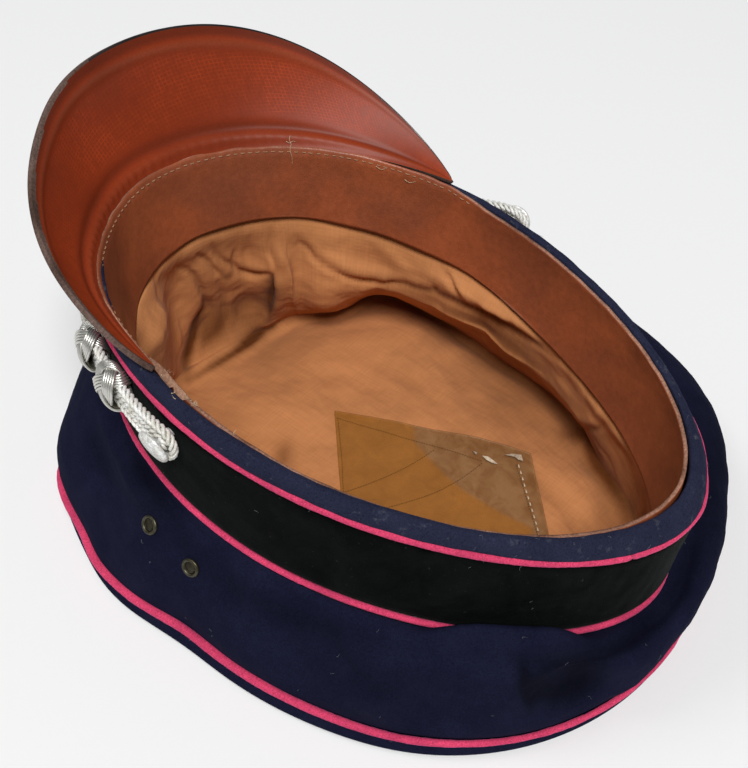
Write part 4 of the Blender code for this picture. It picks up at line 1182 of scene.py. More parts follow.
def attribute(near, name):
    """Value stored at the corners of the piece."""
    return add_node(near, "ShaderNodeAttribute", output="Fac", attribute_name=name)


def noise(place, scale, detail=3.0, roughness=0.55, distortion=0.0):
    """Noise texture on given coordinates."""
    return add_node(place, "ShaderNodeTexNoise",
                    {"Vector": place, "Scale": scale, "Detail": detail, "Roughness": roughness,
                     "Distortion": distortion}, "Fac")


def cells(place, scale, **settings):
    """Cell texture on given coordinates."""
    return add_node(place, "ShaderNodeTexVoronoi", {"Vector": place, "Scale": scale}, "Distance",
                    **settings)


def bands(place, scale, direction, distortion=1.0, detail_scale=1.0):
    """Wavy lines across given coordinates."""
    return add_node(place, "ShaderNodeTexWave",
                    {"Vector": place, "Scale": scale, "Distortion": distortion, "Detail": 2.0,
                     "Detail Scale": detail_scale}, "Fac", bands_direction=direction)


def ramp(source, *stops):
    """Colour ramp with stops of (place, colour)."""
    output = add_node(source, "ShaderNodeValToRGB", {"Fac": source})
    elements = output.node.color_ramp.elements
    while len(elements) < len(stops):
        elements.new(0.5)
    for element, (place, colour) in zip(elements, stops):
        element.position = place
        element.color = (*colour, 1.0)
    return output


def span(source, low, high, to_low, to_high):
    """Stretch a value from one range to another."""
    return add_node(source, "ShaderNodeMapRange",
                    {"Value": source, "From Min": low, "From Max": high, "To Min": to_low,
                     "To Max": to_high})


def compute(operation, one, other):
    """Math node on an output and another output or number."""
    return add_node(one, "ShaderNodeMath", {0: one, 1: other}, operation=operation)


def blend(factor, one, other, mode="MIX"):
    """Mix two colours by a factor; one is an output."""
    return add_node(one, "ShaderNodeMix", {0: factor, 6: one, 7: other}, 2, data_type="RGBA",
                    blend_type=mode)


def times(one, other):
    """Multiply two colours."""
    return blend(1.0, one, other, "MULTIPLY")


def tint(colour, share):
    """Colour times a share, kept in range."""
    return tuple(min(max(value * share, 0.0), 1.0) for value in colour)


def shades(source, colour, *stops):
    """Colour ramp from shares of one colour: stops of (place, share)."""
    return ramp(source, *((place, tint(colour, share)) for place, share in stops))


def wool_material(name, colour, sheen, worn=None):
    """Fulled wool cloth: matted fibres, faint clouds, painted shade where the piece stores it, and
    worn pale spots if asked.
    """
    material, shader = start_material(name, 0.95, specular=0.03, sheen=sheen,
                                      sheen_roughness=0.4, sheen_tint=tint(colour, 9))
    place = coordinates(shader)
    fibres = noise(place, 1900.0, 4.0, 0.75, 1.2)
    clouds = noise(place, 60.0, 4.0, 0.6)
    grain = shades(fibres, colour, (0.30, 0.45), (0.70, 1.75))
    wear = ramp(clouds, (0.35, (0.82, 0.82, 0.84)), (0.72, (1.18, 1.16, 1.12)))
    # painted shade: the cloth is darker where the crown side stores it
    cloth = blend(attribute(shader, "velvet_nap_and_painted_crown_shade"), times(grain, wear), (0.30, 0.32, 0.24), "MULTIPLY")
    if worn:
        pale, start, most = worn
        rub = noise(place, 170.0, 5.0, 0.75)
        cloth = blend(span(rub, start, start + 0.12, 0.0, most), cloth, pale)
    return finish(material, shader, cloth, (clouds, 0.25, 0.0008), (fibres, 0.5, 0.00035))


def velvet_material(name, colour):
    """Black velvet: pile brushed this way and that, with a little dust."""
    material, shader = start_material(name, 1.0, specular=0.02, sheen=0.035,
                                      sheen_roughness=0.35, sheen_tint=(0.62, 0.70, 0.66))
    place = coordinates(shader)
    velvet_nap_and_painted_crown_shade = noise(place, 55.0, 5.0, 0.65, 0.8)
    pile = noise(place, 2600.0, 2.0)
    dust = span(noise(place, 900.0, 2.0, 0.5), 0.70, 0.80, 0.0, 0.25)
    cloth = blend(dust, shades(velvet_nap_and_painted_crown_shade, colour, (0.35, 0.5), (0.75, 1.9)), (0.10, 0.11, 0.10))
    return finish(material, shader, cloth, (velvet_nap_and_painted_crown_shade, 0.35, 0.0008), (pile, 0.6, 0.0003))


def leather_material(name, colour):
    """Waxed brown leather: fine grain, lighter patches worn by rubbing, darker stains."""
    material, shader = start_material(name, 0.5, specular=0.48)
    place = coordinates(shader)
    patches = noise(place, 32.0, 4.0, 0.55, 0.5)
    mottle = noise(place, 420.0, 4.0, 0.7)
    tone = shades(patches, colour, (0.32, 0.76), (0.52, 1.0), (0.74, 1.34))
    fine = ramp(mottle, (0.35, (0.90, 0.88, 0.87)), (0.68, (1.12, 1.13, 1.15)))
    feed(span(patches, 0.35, 0.65, 0.56, 0.36), shader.inputs["Roughness"])
    return finish(material, shader, times(tone, fine), (patches, 0.3, 0.0012),
                  (mottle, 0.22, 0.0003), (cells(place, 1700.0), 0.25, 0.0002))


def cotton_material(name, colour):
    """Plain cotton: threads both ways with slubs, faint stains, soft creases and painted shade."""
    material, shader = start_material(name, 0.92, specular=0.12, sheen=0.05, sheen_roughness=0.5)
    weave = coordinates(shader, uv=True)
    threads = compute("MAXIMUM", *(bands(weave, 520.0, way, 2.0) for way in "XY"))
    both = compute("ADD", *(noise(coordinates(shader, scale, uv=True), 1.0, 3.0, 0.7)
                            for scale in ((60.0, 1300.0, 1.0), (1300.0, 60.0, 1.0))))
    slubs = compute("MULTIPLY", both, 0.5)
    place = coordinates(shader)
    stains = noise(place, 24.0, 5.0, 0.6, 0.3)
    creases = noise(place, 130.0, 3.0, 0.6, 1.5)
    tone = shades(stains, colour, (0.30, 0.78), (0.52, 1.0), (0.76, 1.12))
    yarn = ramp(slubs, (0.38, (0.92, 0.91, 0.88)), (0.50, WHITE), (0.64, (1.07, 1.08, 1.09)))
    # painted shade: darker brown where the piece stores it, in its folds and hollows
    cloth = blend(attribute(shader, "painted_shade"), times(tone, yarn), (0.17, 0.10, 0.03), "MULTIPLY")
    return finish(material, shader, cloth, (creases, 0.25, 0.0009), (slubs, 0.18, 0.0002),
                  (threads, 0.2, 0.00015))


def fibre_material(name, colour):
    """Red-brown fibre with a pressed check of fine broken lines, spots of lighter and darker tone,
    and painted highlight and shade along its bead, valley, root flange and outer strip.
    """
    material, shader = start_material(name, 0.46, specular=0.26)
    check = coordinates(shader, uv=True, turn=8.0)
    lines = compute("MAXIMUM", *(span(bands(check, 255.0, way, 0.5, 2.0), 0.72, 0.98, 0.0, 1.0)
                                 for way in "XY"))
    place = coordinates(shader)
    patches = noise(place, 26.0, 4.0, 0.55)
    fine = noise(place, 1500.0, 3.0)
    kept = compute("MULTIPLY", lines, span(noise(place, 420.0, 3.0, 0.6), 0.36, 0.60, 0.1, 1.0))
    zone = compute("MULTIPLY", span(patches, 0.38, 0.60, 0.25, 1.0), attribute(shader, "inner"))
    shown = compute("MULTIPLY", kept, zone)
    tone = shades(patches, colour, (0.30, 0.84), (0.52, 1.0), (0.76, 1.15))
    speck = ramp(fine, (0.35, (0.92, 0.92, 0.92)), (0.65, (1.08, 1.08, 1.08)))
    # painted light: lighter and greyer on the bead crest and root flange as a painted highlight,
    # darker in the valley and on the outer strip as painted shade
    painted_light_and_shade = ramp(attribute(shader, "tone"), (0.25, (0.50, 0.52, 0.60)), (0.50, WHITE),
                  (0.75, (1.05, 1.5, 2.6)))
    base = blend(compute("MULTIPLY", shown, 0.50), times(times(tone, speck), painted_light_and_shade),
                 tint(colour, 2.1))
    return finish(material, shader, base, (patches, 0.2, 0.0010), (shown, 0.15, 0.0001),
                  (fine, 0.15, 0.0001))


def lacquer_material(name):
    """Black lacquer of the upper side of the peak, with hair cracks."""
    material, shader = start_material(name, 0.22, specular=0.5, coat=0.4, coat_roughness=0.12)
    place = coordinates(shader)
    clouds = noise(place, 40.0, 3.0)
    cracks = span(cells(place, 260.0, feature="DISTANCE_TO_EDGE"), 0.0, 0.03, 0.0, 1.0)
    tone = ramp(clouds, (0.35, (0.010, 0.009, 0.009)), (0.7, (0.03, 0.026, 0.024)))
    return finish(material, shader, tone, (clouds, 0.15, 0.0008), (cracks, 0.12, 0.0001))


def edge_material(name, colour):
    """Raw cut edge of leather: pale, dry and fibrous."""
    material, shader = start_material(name, 0.9, specular=0.15)
    place = coordinates(shader)
    fibres = noise(place, 1300.0, 4.0, 0.7)
    dark = ramp(noise(place, 60.0, 3.0), (0.35, (0.45, 0.40, 0.38)), (0.62, WHITE))
    tone = times(shades(fibres, colour, (0.35, 0.55), (0.68, 1.3)), dark)
    return finish(material, shader, tone, (fibres, 0.5, 0.0002))


def film_material(name, colour):
    """Clear amber celluloid, gone hazy and lifted towards one corner."""
    material, shader = start_material(name, 0.25, specular=0.5, alpha=0.42)
    place = coordinates(shader)
    mist = noise(place, 150.0, 4.0, 0.65, 0.8)
    ripple = noise(place, 55.0, 2.0, 0.5)
    grey = ramp(mist, (0.35, (0.24, 0.110, 0.036)), (0.62, (0.35, 0.19, 0.080)))
    tone = blend(attribute(shader, "haze"), shades(mist, colour, (0.3, 0.85), (0.7, 1.12)), grey)
    return finish(material, shader, tone, (ripple, 0.25, 0.0012), (mist, 0.12, 0.0003))


def silver_material(name, colour, roughness, metallic, stripe):
    """Silver wire thread: fine winding and tarnish in the gaps."""
    material, shader = start_material(name, roughness, metallic=metallic, specular=0.5)
    place = coordinates(shader)
    wires = noise(place, stripe, 3.0, 0.7)
    dull = ramp(noise(place, 180.0, 3.0, 0.6), (0.30, (0.72, 0.70, 0.62)), (0.60, WHITE))
    tone = times(shades(wires, colour, (0.34, 0.62), (0.62, 1.12)), dull)
    return finish(material, shader, tone, (wires, 0.4, 0.00012))


def thread_material(name, colour):
    """Plain spun thread."""
    material, shader = start_material(name, 0.85, specular=0.2)
    plies = noise(coordinates(shader), 2500.0, 2.0)
    return finish(material, shader, shades(plies, colour, (0.35, 0.65), (0.65, 1.15)),
                  (plies, 0.4, 0.0001))


# ---------------------------------------------------------------- the add-on

class CapColours(bpy.types.PropertyGroup):
    """Colours of the cap's materials."""

    navy: FloatVectorProperty(name="Navy wool", description="Crown and rolled edge",
                              subtype="COLOR", default=(0.0078, 0.0088, 0.0235))
    pink: FloatVectorProperty(name="Pink piping", description="The three pipings",
                              subtype="COLOR", default=(0.56, 0.050, 0.122))
    black: FloatVectorProperty(name="Black velvet", description="The band",
                               subtype="COLOR", default=(0.0030, 0.0037, 0.0034))
    brown: FloatVectorProperty(name="Brown leather", description="The sweatband",
                               subtype="COLOR", default=(0.272, 0.069, 0.0255))
    tan: FloatVectorProperty(name="Tan cotton", description="The lining",
                             subtype="COLOR", default=(0.485, 0.200, 0.075))
    red: FloatVectorProperty(name="Red fibre", description="Underside of the peak",
                             subtype="COLOR", default=(0.235, 0.029, 0.0052))
    amber: FloatVectorProperty(name="Amber celluloid", description="The sweat shield",
                               subtype="COLOR", default=(0.40, 0.16, 0.026))
    silver: FloatVectorProperty(name="Silver", description="Chin cord and slides",
                                subtype="COLOR", default=(0.92, 0.90, 0.86))
    aged: FloatVectorProperty(name="Aged metal", description="Vents",
                              subtype="COLOR", default=(0.085, 0.078, 0.052))
    floor: FloatVectorProperty(name="Floor", description="Pale floor under the cap",
                               subtype="COLOR", default=(0.875, 0.875, 0.875))


class CapSizes(bpy.types.PropertyGroup):
    """Sizes of the cap's finer forms."""

    cloth_columns: IntProperty(name="Cloth columns", description="Faces of cloth round the cap",
                               default=440, min=60, max=720)
    crown_waver: FloatProperty(name="Crown waver", description="How far the crown cloth wavers",
                               default=0.0008, unit="LENGTH")
    lining_waver: FloatProperty(name="Lining waver", description="How far the lining wavers",
                                default=0.0007, unit="LENGTH")
    thread_radius: FloatProperty(name="Stitch thread", description="Radius of the sewing thread",
                                 default=0.00022, unit="LENGTH")
    strand_radius: FloatProperty(name="Silver strand", description="Radius of a strand of cord",
                                 default=0.00066, unit="LENGTH")


class CAP_OT_crown(bpy.types.Operator):
    """Navy crown: its folded side and its flat top panel"""

    bl_idname = "cap.crown"
    bl_label = "Crown"

    def execute(self, context):
        sizes = context.scene.cap_sizes
        wool = wool_material("navy_wool", tuple(context.scene.cap_colours.navy), 0.05)
        side = lay("side", sizes.cloth_columns, 54, lambda u, v: side_point(360.0 * u, v),
                   dense=CROWN_COLUMN_TURN, flip=True)
        points = read_points(side)
        _, place = read_shares(side)
        hold = within(place, 7.0)
        waver = waves(points, 0.050, 11) + 0.45 * waves(points, 0.018, 12)
        push(side, (1.5 * fold_field(side, CROWN_FOLDS) + sizes.crown_waver * waver) * hold)
        points = read_points(side)
        middle, width, height = CROWN_SWELL
        points[:, 2] += (height * np.exp(-(turn_gap(crown_turn(points), middle) / width) ** 4)
                         * np.sin(np.pi * np.clip(place / 0.26, 0.0, 1.0)))
        put_points(side, points)
        modify(side, "SMOOTH", iterations=5, factor=0.5)
        push(side, 0.00012 * waves(read_points(side), 0.006, 13) * hold)
        # painted shade in the crown's hollows, under its roll and along its darker right side
        store(side, "velvet_nap_and_painted_crown_shade", np.clip(fold_field(side, CROWN_PAINTED_SHADE) * 1000, 0, 0.85))
        thicken(side, CROWN_CLOTH)
        settle(side, "crown_side_cloth", wool, "crown_side", slot="navy_wool")
        top = take_copy("crown_top")
        hold_corners(top)
        modify(top, "SUBSURF", levels=2, render_levels=2)
        settle(top, "crown_top_cloth", wool, "crown_top", slot="navy_wool")
        return {"FINISHED"}


class CAP_OT_pipings(bpy.types.Operator):
    """Pink wool pipings along both edges of the band and the crown"""

    bl_idname = "cap.pipings"
    bl_label = "Pipings"

    def execute(self, context):
        pink = wool_material("pink_wool", tuple(context.scene.cap_colours.pink), 0.2)

        def band_out(turn):
            return stack(*oval_out(turn), 0.0)

        # node, radius, gap at its joint, how much thinner on the right, path, outward direction
        lines = (
            ("crown_piping", 1.08 * EDGE_PIPING_RADIUS, 0.0, 0.35,
             lambda turn: crown_point(turn, edge_reach(turn), edge_height(turn)),
             lambda turn: stack(cosine(turn), sine(turn), 0.0)),
            ("band_piping_lower", 1.05 * PIPING_RADIUS, 0.30, 0.0,
             lambda turn: rim_point(turn, 0.0, 0.0), band_out),
            ("band_piping_upper", 0.85 * PIPING_RADIUS, 0.0, 0.0,
             lambda turn: rim_point(turn, -BAND_HEIGHT, -BAND_TAPER), band_out),
        )
        for seed, (node, radius, gap, thin, path, outward) in enumerate(lines):

            def shape(u, v):
                turn = 360.0 * u
                centre, out = path(turn), outward(turn)
                ring = radius * (1.0 + 0.05 * waves(centre, 0.012, 20 + seed)
                                 - gap * hump(turn_gap(turn, PIPING_JOIN), 0.35)
                                 - thin * hump(turn_gap(turn, PIPING_THIN[0]), PIPING_THIN[1]))
                sag = 0.00022 * waves(centre, 0.030, 30 + seed)
                points = centre + out * (ring * np.cos(2 * np.pi * v) + sag)[..., None]
                points[..., 2] += ring * np.sin(2 * np.pi * v) + sag
                return points

            piping = lay(node, 640, 10, shape, dense=CROWN_COLUMN_TURN)
            face_outwards(piping)
            push(piping, 0.00006 * waves(read_points(piping), 0.0016, 40 + seed))
            settle(piping, node + "_cloth", pink, node, slot="pink_wool")
        return {"FINISHED"}


class CAP_OT_band(bpy.types.Operator):
    """Black velvet band and the rolled navy edge of the opening"""

    bl_idname = "cap.band"
    bl_label = "Band and rolled edge"

    def execute(self, context):
        velvet = velvet_material("black_velvet", tuple(context.scene.cap_colours.black))
        under = 0.6 * PIPING_RADIUS
        top, bottom = -under, -BAND_HEIGHT + under

        def face(u, v):
            height = top + (bottom - top) * v
            tuck = 0.0014 * (hump(v, 0.03) + hump(1.0 - v, 0.03))
            return rim_point(360.0 * u, height, band_offset(height) + BAND_PROUD - tuck)

        band = lay("band", context.scene.cap_sizes.cloth_columns, 24, face,
                   dense=CROWN_COLUMN_TURN, flip=True)
        points = read_points(band)
        _, place = read_shares(band)
        hold = within(place, 6.0)
        push(band, (0.00030 * waves(points, 0.040, 51) + 0.00010 * waves(points, 0.008, 52)) * hold)
        thicken(band, VELVET_WALL)
        settle(band, "band_velvet", velvet, "band", slot="black_velvet")

        rows = np.array(ROLL_ROWS)
        section = curve_through(np.vstack((rows[-1:], rows, rows[:2])))
        section = np.vstack((section, section[:1]))
        at = np.linspace(0.0, 1.0, len(section))

        def roll(u, v):
            rise = np.interp(v, at, section[:, 0]) * BINDING_HEIGHT
            inner = np.interp(v, at, section[:, 1])
            leaning = np.maximum(rise / BINDING_HEIGHT, 1.4 * inner - 0.4)
            inwards = inner * BINDING_WALL + roll_lean(360.0 * u) * np.clip(leaning, 0.0, 1.0)
            return rim_point(360.0 * u, PIPING_RADIUS + rise,
                             BAND_PROUD + BINDING_PROUD - inwards)

        binding = lay("binding", 520, 30, roll, dense=CROWN_COLUMN_TURN)
        face_outwards(binding)
        points = read_points(binding)
        push(binding, 0.00030 * waves(points, 0.022, 61) + 0.00010 * waves(points, 0.005, 62))
        worn = wool_material("navy_wool_worn", (0.0175, 0.0198, 0.0410), 0.07,
                             ((0.12, 0.130, 0.15), 0.59, 0.42))
        settle(binding, "rim_roll", worn, "rim_binding", slot="navy_wool")
        return {"FINISHED"}


class CAP_OT_sweatband(bpy.types.Operator):
    """Brown leather sweatband with its pale cut edges"""

    bl_idname = "cap.sweatband"
    bl_label = "Sweatband"

    def execute(self, context):
        leather = leather_material("brown_leather", tuple(context.scene.cap_colours.brown))
        raw = edge_material("raw_leather", (0.42, 0.215, 0.145))
        band = lay("sweatband", 520, 40, lambda u, v: leather_point(360.0 * u, v), dense=240.0)
        points = read_points(band)
        turn, share = read_shares(band)
        slack = 0.00012 + 0.0009 * np.clip(share, 0.0, 1.0) ** 1.3
        relief = slack * (waves(points, 0.060, 71) + 0.25 * waves(points, 0.020, 72))
        sewn = STITCH_DROP / SWEATBAND_DEPTH
        joined = between_horns(360.0 * turn)
        relief = relief - 0.00030 * hump(share - sewn, 0.018) * joined
        relief = relief + 0.00010 * waves(points, 0.0035, 73) * hump(share - sewn, 0.05)
        push(band, relief)
        points = read_points(band)
        plan = stack(*oval(360.0 * turn), 0.0)
        points[:, 2] += 0.0009 * waves(plan, 0.050, 74) * (share > 0.999)
        points[:, 2] += 0.00025 * waves(plan, 0.011, 75) * (share < 0.001)
        put_points(band, points)
        thicken(band, SWEATBAND_WALL, material_offset_rim=1)
        settle(band, "sweatband_leather", (leather, raw), "sweatband", slot="brown_leather")
        return {"FINISHED"}


def lining_place(v):
    """Rows of the side lining stand closer towards its crease."""
    return v * (1.25 - 0.25 * v)


class CAP_OT_lining(bpy.types.Operator):
    """Tan cotton lining: its gathered side and its loose tip"""

    bl_idname = "cap.lining"
    bl_label = "Lining"

    def execute(self, context):
        sizes = context.scene.cap_sizes
        cotton = cotton_material("tan_cotton", tuple(context.scene.cap_colours.tan))
        side = lay("lining_side", 590, 80,
                   lambda u, v: lining_point(360.0 * u, lining_place(v)), dense=218.0, pull=0.105)
        points = read_points(side)
        turn, place = read_shares(side)
        turn, place = 360.0 * turn, lining_place(place)
        hold = np.clip(9.0 * (place - 0.06), 0.0, 1.0) * np.clip(0.35 + 5.0 * (1 - place), 0.0, 1.0)
        gather = np.zeros(len(points))
        random = np.random.default_rng(81)
        for _ in range(GATHERS):
            at, width = random.uniform(0, 360), random.uniform(1.0, 2.4)
            lean, end = random.uniform(-14, 14), random.uniform(0.25, 0.7)
            gather += (random.uniform(-1.0, 0.5) * hump(turn_gap(turn, at + lean * place), width)
                       * hump(place - 0.15, end))
        relief = GATHER_DEPTH * gather + sizes.lining_waver * (waves(points, 0.035, 82)
                                                        + 0.4 * waves(points, 0.011, 83))
        # painted shade along the side lining's hollow folds and in its dark places
        paint_fold_shade(side, LINING_FOLDS)
        room = 0.0004 + 0.012 * np.clip(place - 0.30, 0, 1) + 0.8 * lobe_push(turn, place)
        bulge = (BULGE * hump(place - BULGE_PLACE, BULGE_PLACE / 2)
                 * np.clip(12.0 * (place - 0.03), 0.0, 1.0))
        push(side, np.maximum((fold_field(side, LINING_FOLDS) + relief) * hold, -room) + bulge)
        modify(side, "SMOOTH", iterations=1, factor=0.5)
        push(side, 0.00010 * waves(read_points(side), 0.0045, 84))
        thicken(side, LINING_CLOTH)
        settle(side, "lining_side_cloth", cotton, "lining_side", slot="tan_cotton")

        def tip_shape(u, v):
            edge = lining_point(360.0 * u, np.ones_like(u))
            share = TIP_REACH * v ** 0.85
            middle = np.array(CROWN_CENTRE) * 0.4
            plan = middle + (edge[..., :2] - middle) * share[..., None]
            rise = 1.0 - share ** TIP_FULLNESS
            deep = TIP_CURL * (1.0 + local(TIP_CURLS, 360.0 * u))
            curl = deep * np.clip((share - 0.91) / 0.09, 0.0, 1.0) ** 2
            return stack(plan[..., 0], plan[..., 1],
                         CREASE_HEIGHT - 0.0004 + (TIP_MIDDLE - CREASE_HEIGHT) * rise + curl)

        tip = lay("lining_tip", 420, 88, tip_shape, flip=True)
        points = read_points(tip)
        lay_weave(tip, points[:, :2])
        _, share = read_shares(tip)
        hold = np.clip(6.0 * (1.0 - share) + 0.1, 0.0, 1.0)
        waver = waves(points, 0.055, 85) + 0.35 * waves(points, 0.016, 86)
        # painted shade along the tip's hollow folds and in its dark places
        paint_fold_shade(tip, TIP_FOLDS)
        push(tip, (fold_field(tip, TIP_FOLDS) + 1.2 * sizes.lining_waver * waver) * hold)
        push(tip, 0.00010 * waves(read_points(tip), 0.0050, 87))
        thicken(tip, LINING_CLOTH)
        settle(tip, "lining_tip_cloth", cotton, "lining_tip", slot="tan_cotton")
        return {"FINISHED"}


class CAP_OT_shield(bpy.types.Operator):
    """Clear celluloid sweat shield with its seams, over the lining's tip"""

    bl_idname = "cap.shield"
    bl_label = "Sweat shield"

    def execute(self, context):
        film = film_material("clear_celluloid", tuple(context.scene.cap_colours.amber))
        tip = surface_of(bpy.data.objects["lining_tip_cloth"])
        along = Vector((float(cosine(SHIELD_TURN)), float(sine(SHIELD_TURN))))
        across = Vector((float(cosine(SHIELD_TURN - 90 + SHIELD_LEAN)),
                         float(sine(SHIELD_TURN - 90 + SHIELD_LEAN))))

        def shape(u, v):
            points = []
            for one, other in zip(u, v):
                plan = (Vector(SHIELD_CORNER) + along * SHIELD_LENGTH * one
                        + across * SHIELD_WIDTH * other)
                hit = tip.ray_cast(Vector((plan.x, plan.y, ABOVE_TIP)), Vector((0, 0, -1)))[0]
                points.append((plan.x, plan.y, (hit.z if hit else TIP_MIDDLE) + SHIELD_LIFT))
            return np.array(points)

        shield = lay("shield", 60, 52, shape, closed=False)
        modify(shield, "SMOOTH", iterations=12, factor=0.5)
        face_up(shield)
        points = read_points(shield)
        pixels = seen_at(points)
        line = smooth_path(SHIELD_HAZE, 60)
        beyond = pixels[:, 0] - np.interp(pixels[:, 1], line[:, 1], line[:, 0])
        store(shield, "haze", np.clip(beyond / 5.0 + 0.5, 0, 1))
        points[:, 2] += 0.0006 + 0.0008 * np.clip(beyond / 60.0, 0, 1)
        put_points(shield, points)
        thicken(shield, FILM_WALL)
        settle(shield, "shield_film", film, "sweat_shield", slot="clear_celluloid")

        tree = surface_of(shield)
        down = Vector((0, 0, -0.0002))
        paths = []
        for seam in SHIELD_SEAMS:
            count = int(path_length(np.array(seam, float)) / SEAM_STEP)
            line = smooth_path(seam, 2 * count)
            for index in range(0, 2 * count - 1, 2):
                ends = [on_surface(tree, line[index + step], 0.0001) for step in (0, 1)]
                if None not in ends:
                    paths.append([ends[0] + down, (ends[0] + ends[1] - down) / 2, ends[1] + down])
        seams = tubes("shield_seams", paths, SEAM_RADIUS)
        settle(seams, "shield_stitches", thread_material("dark_thread", (0.13, 0.060, 0.015)),
               slot="tan_cotton")

        line = smooth_path(PALE_SEAM, 24)
        paths = [[on_surface(tree, line[index + step], 0.0003) for step in (0, 1)]
                 for index in range(0, 23, 2)]
        pale = tubes("pale", [path for path in paths if None not in path], DRY_RADIUS)
        settle(pale, "shield_pale_stitches", thread_material("dry_thread", (0.60, 0.45, 0.30)),
               slot="tan_cotton")
        settle(scraps("flakes", tree, FLAKES), "shield_flakes",
               edge_material("cracked_celluloid", (0.66, 0.54, 0.40)), slot="clear_celluloid")
        return {"FINISHED"}


class CAP_OT_peak(bpy.types.Operator):
    """Stiff peak: pressed bead, puckered root and lacquered upper side"""

    bl_idname = "cap.peak"
    bl_label = "Peak"

    def execute(self, context):
        fibre = fibre_material("red_fibre", tuple(context.scene.cap_colours.red))
        lacquer = lacquer_material("black_lacquer")

        def shape(u, v):
            return peak_point(np.sin(np.pi / 2 * (2 * u - 1)), v * (1 + PEAK_TUCK) - PEAK_TUCK)

        peak = lay("peak", 250, 68, shape, closed=False)
        face_up(peak)
        points = read_points(peak)
        u, depth = read_shares(peak)
        depth = depth * (1 + PEAK_TUCK) - PEAK_TUCK
        across = np.sin(np.pi / 2 * (2 * u - 1))
        fall = np.maximum(1 - abs(across) ** 3, 0.0)
        relief = ridges(PEAK_RELIEF, depth) - 0.0012 * np.clip((depth - 0.89) / 0.11, 0, 1) ** 1.5
        length = path_length(shape(np.linspace(0, 1, 300), np.zeros(300)))
        puckers = np.sin(2 * np.pi * u * length / PUCKER_PITCH + 2.0 * waves(points, 0.02, 91))
        edge = hump(depth - 0.040, 0.035) * (0.25 + 0.75 * hump(across - 0.35, 0.5))
        relief += PUCKER_HEIGHT * puckers * edge
        push(peak, relief * fall ** 1.5 + 0.00025 * waves(points, 0.04, 92) * fall)
        store(peak, "inner", np.clip((depth - 0.24) / 0.06, 0, 1)
              * np.clip((0.82 - depth) / 0.06, 0, 1))
        # painted highlight on the bead crest and root flange, painted shade in the valley and on
        # the outer strip
        tone = 0.5 + ridges(PEAK_PAINTED_LIGHT, depth) - 0.22 * np.clip((depth - 0.885) / 0.05, 0, 1)
        store(peak, "tone", tone)
        root = np.full_like(u, PEAK_TUCK / (1 + PEAK_TUCK))
        margin = (1 - depth) * np.linalg.norm(shape(u, np.ones_like(u)) - shape(u, root), axis=1)
        band = 0.0007 + 0.0016 * np.clip(1.6 * across, 0.0, 1.0)
        for face in peak.data.polygons:
            corners = list(face.vertices)
            if (margin[corners] < band[corners] + 0.0001).all():
                face.material_index = 2 if across[corners].mean() > 0.1 else 1
        thicken(peak, PEAK_WALL, material_offset=1, material_offset_rim=2)
        modify(peak, "BEVEL", width=0.0004, segments=2, limit_method="ANGLE",
               angle_limit=radians(50))
        worn = edge_material("worn_edge", (0.150, 0.098, 0.080))
        settle(peak, "peak_fibre", (fibre, lacquer, worn), "peak", slot="red_fibre")
        return {"FINISHED"}


def loop_path(shift, steps=300):
    """Closed path of the cord, shifted across it, with the outward direction along it."""
    points, outs = [], []
    bend = 16
    for side, first, last in ((1, BUTTON_FAR_TURN, BUTTON_NEAR_TURN),
                              (-1, BUTTON_NEAR_TURN, BUTTON_FAR_TURN)):
        for step in range(steps):
            turn = first + (last - first) * (step + 0.5) / steps
            points.append(Vector(cord_point(turn, side * (cord_spread(turn) + shift))))
            outs.append(plan_out(turn))
        centre, along, up, out = cord_frame(last)
        reach = cord_spread(last) + shift
        for step in range(1, bend):
            angle = np.pi * step / bend
            points.append(centre + up * side * reach * np.cos(angle)
                          + along * side * reach * np.sin(angle))
            outs.append(out)
    return np.array(points), np.array(outs)


def spread_closed(points, outs, step):
    """Spread points of a closed path evenly; gives its length too."""
    ring = np.vstack((points, points[:1]))
    guide = np.vstack((outs, outs[:1]))
    along = run_along(ring)
    at = np.linspace(0, along[-1], int(along[-1] / step), endpoint=False)
    guided = read_path(guide, along, at)
    return (read_path(ring, along, at), guided / np.linalg.norm(guided, axis=1)[:, None],
            along[-1])


class CAP_OT_chin_cord(bpy.types.Operator):
    """Silver chin cord of twisted strands, held by the two side buttons"""

    bl_idname = "cap.chin_cord"
    bl_label = "Chin cord"

    def execute(self, context):
        radius = context.scene.cap_sizes.strand_radius
        silver = silver_material("silver_cord", tuple(context.scene.cap_colours.silver),
                                 0.62, 0.10, 2600.0)
        paths = []
        for hand in (1, -1):
            points, outs, length = spread_closed(*loop_path(-hand * RUN_SHIFT), CORD_STEP)
            ahead = np.roll(points, -1, axis=0) - np.roll(points, 1, axis=0)
            ahead /= np.linalg.norm(ahead, axis=1)[:, None]
            across = np.cross(ahead, outs)
            across /= np.linalg.norm(across, axis=1)[:, None]
            rounds = round(length / CORD_TWIST)
            phase = 2 * np.pi * rounds * np.arange(len(points)) / len(points)
            for strand in range(3):
                angle = hand * phase + 2 * np.pi * strand / 3
                paths.append(points + across * (STRAND_ACROSS * np.cos(angle))[:, None]
                             + outs * (STRAND_OUT * np.sin(angle))[:, None])
        cord = tubes("chin_cord", paths, radius, closed=True)
        settle(cord, "chin_cord_strands", silver, "chin_cord", slot="silver_cord")
        return {"FINISHED"}


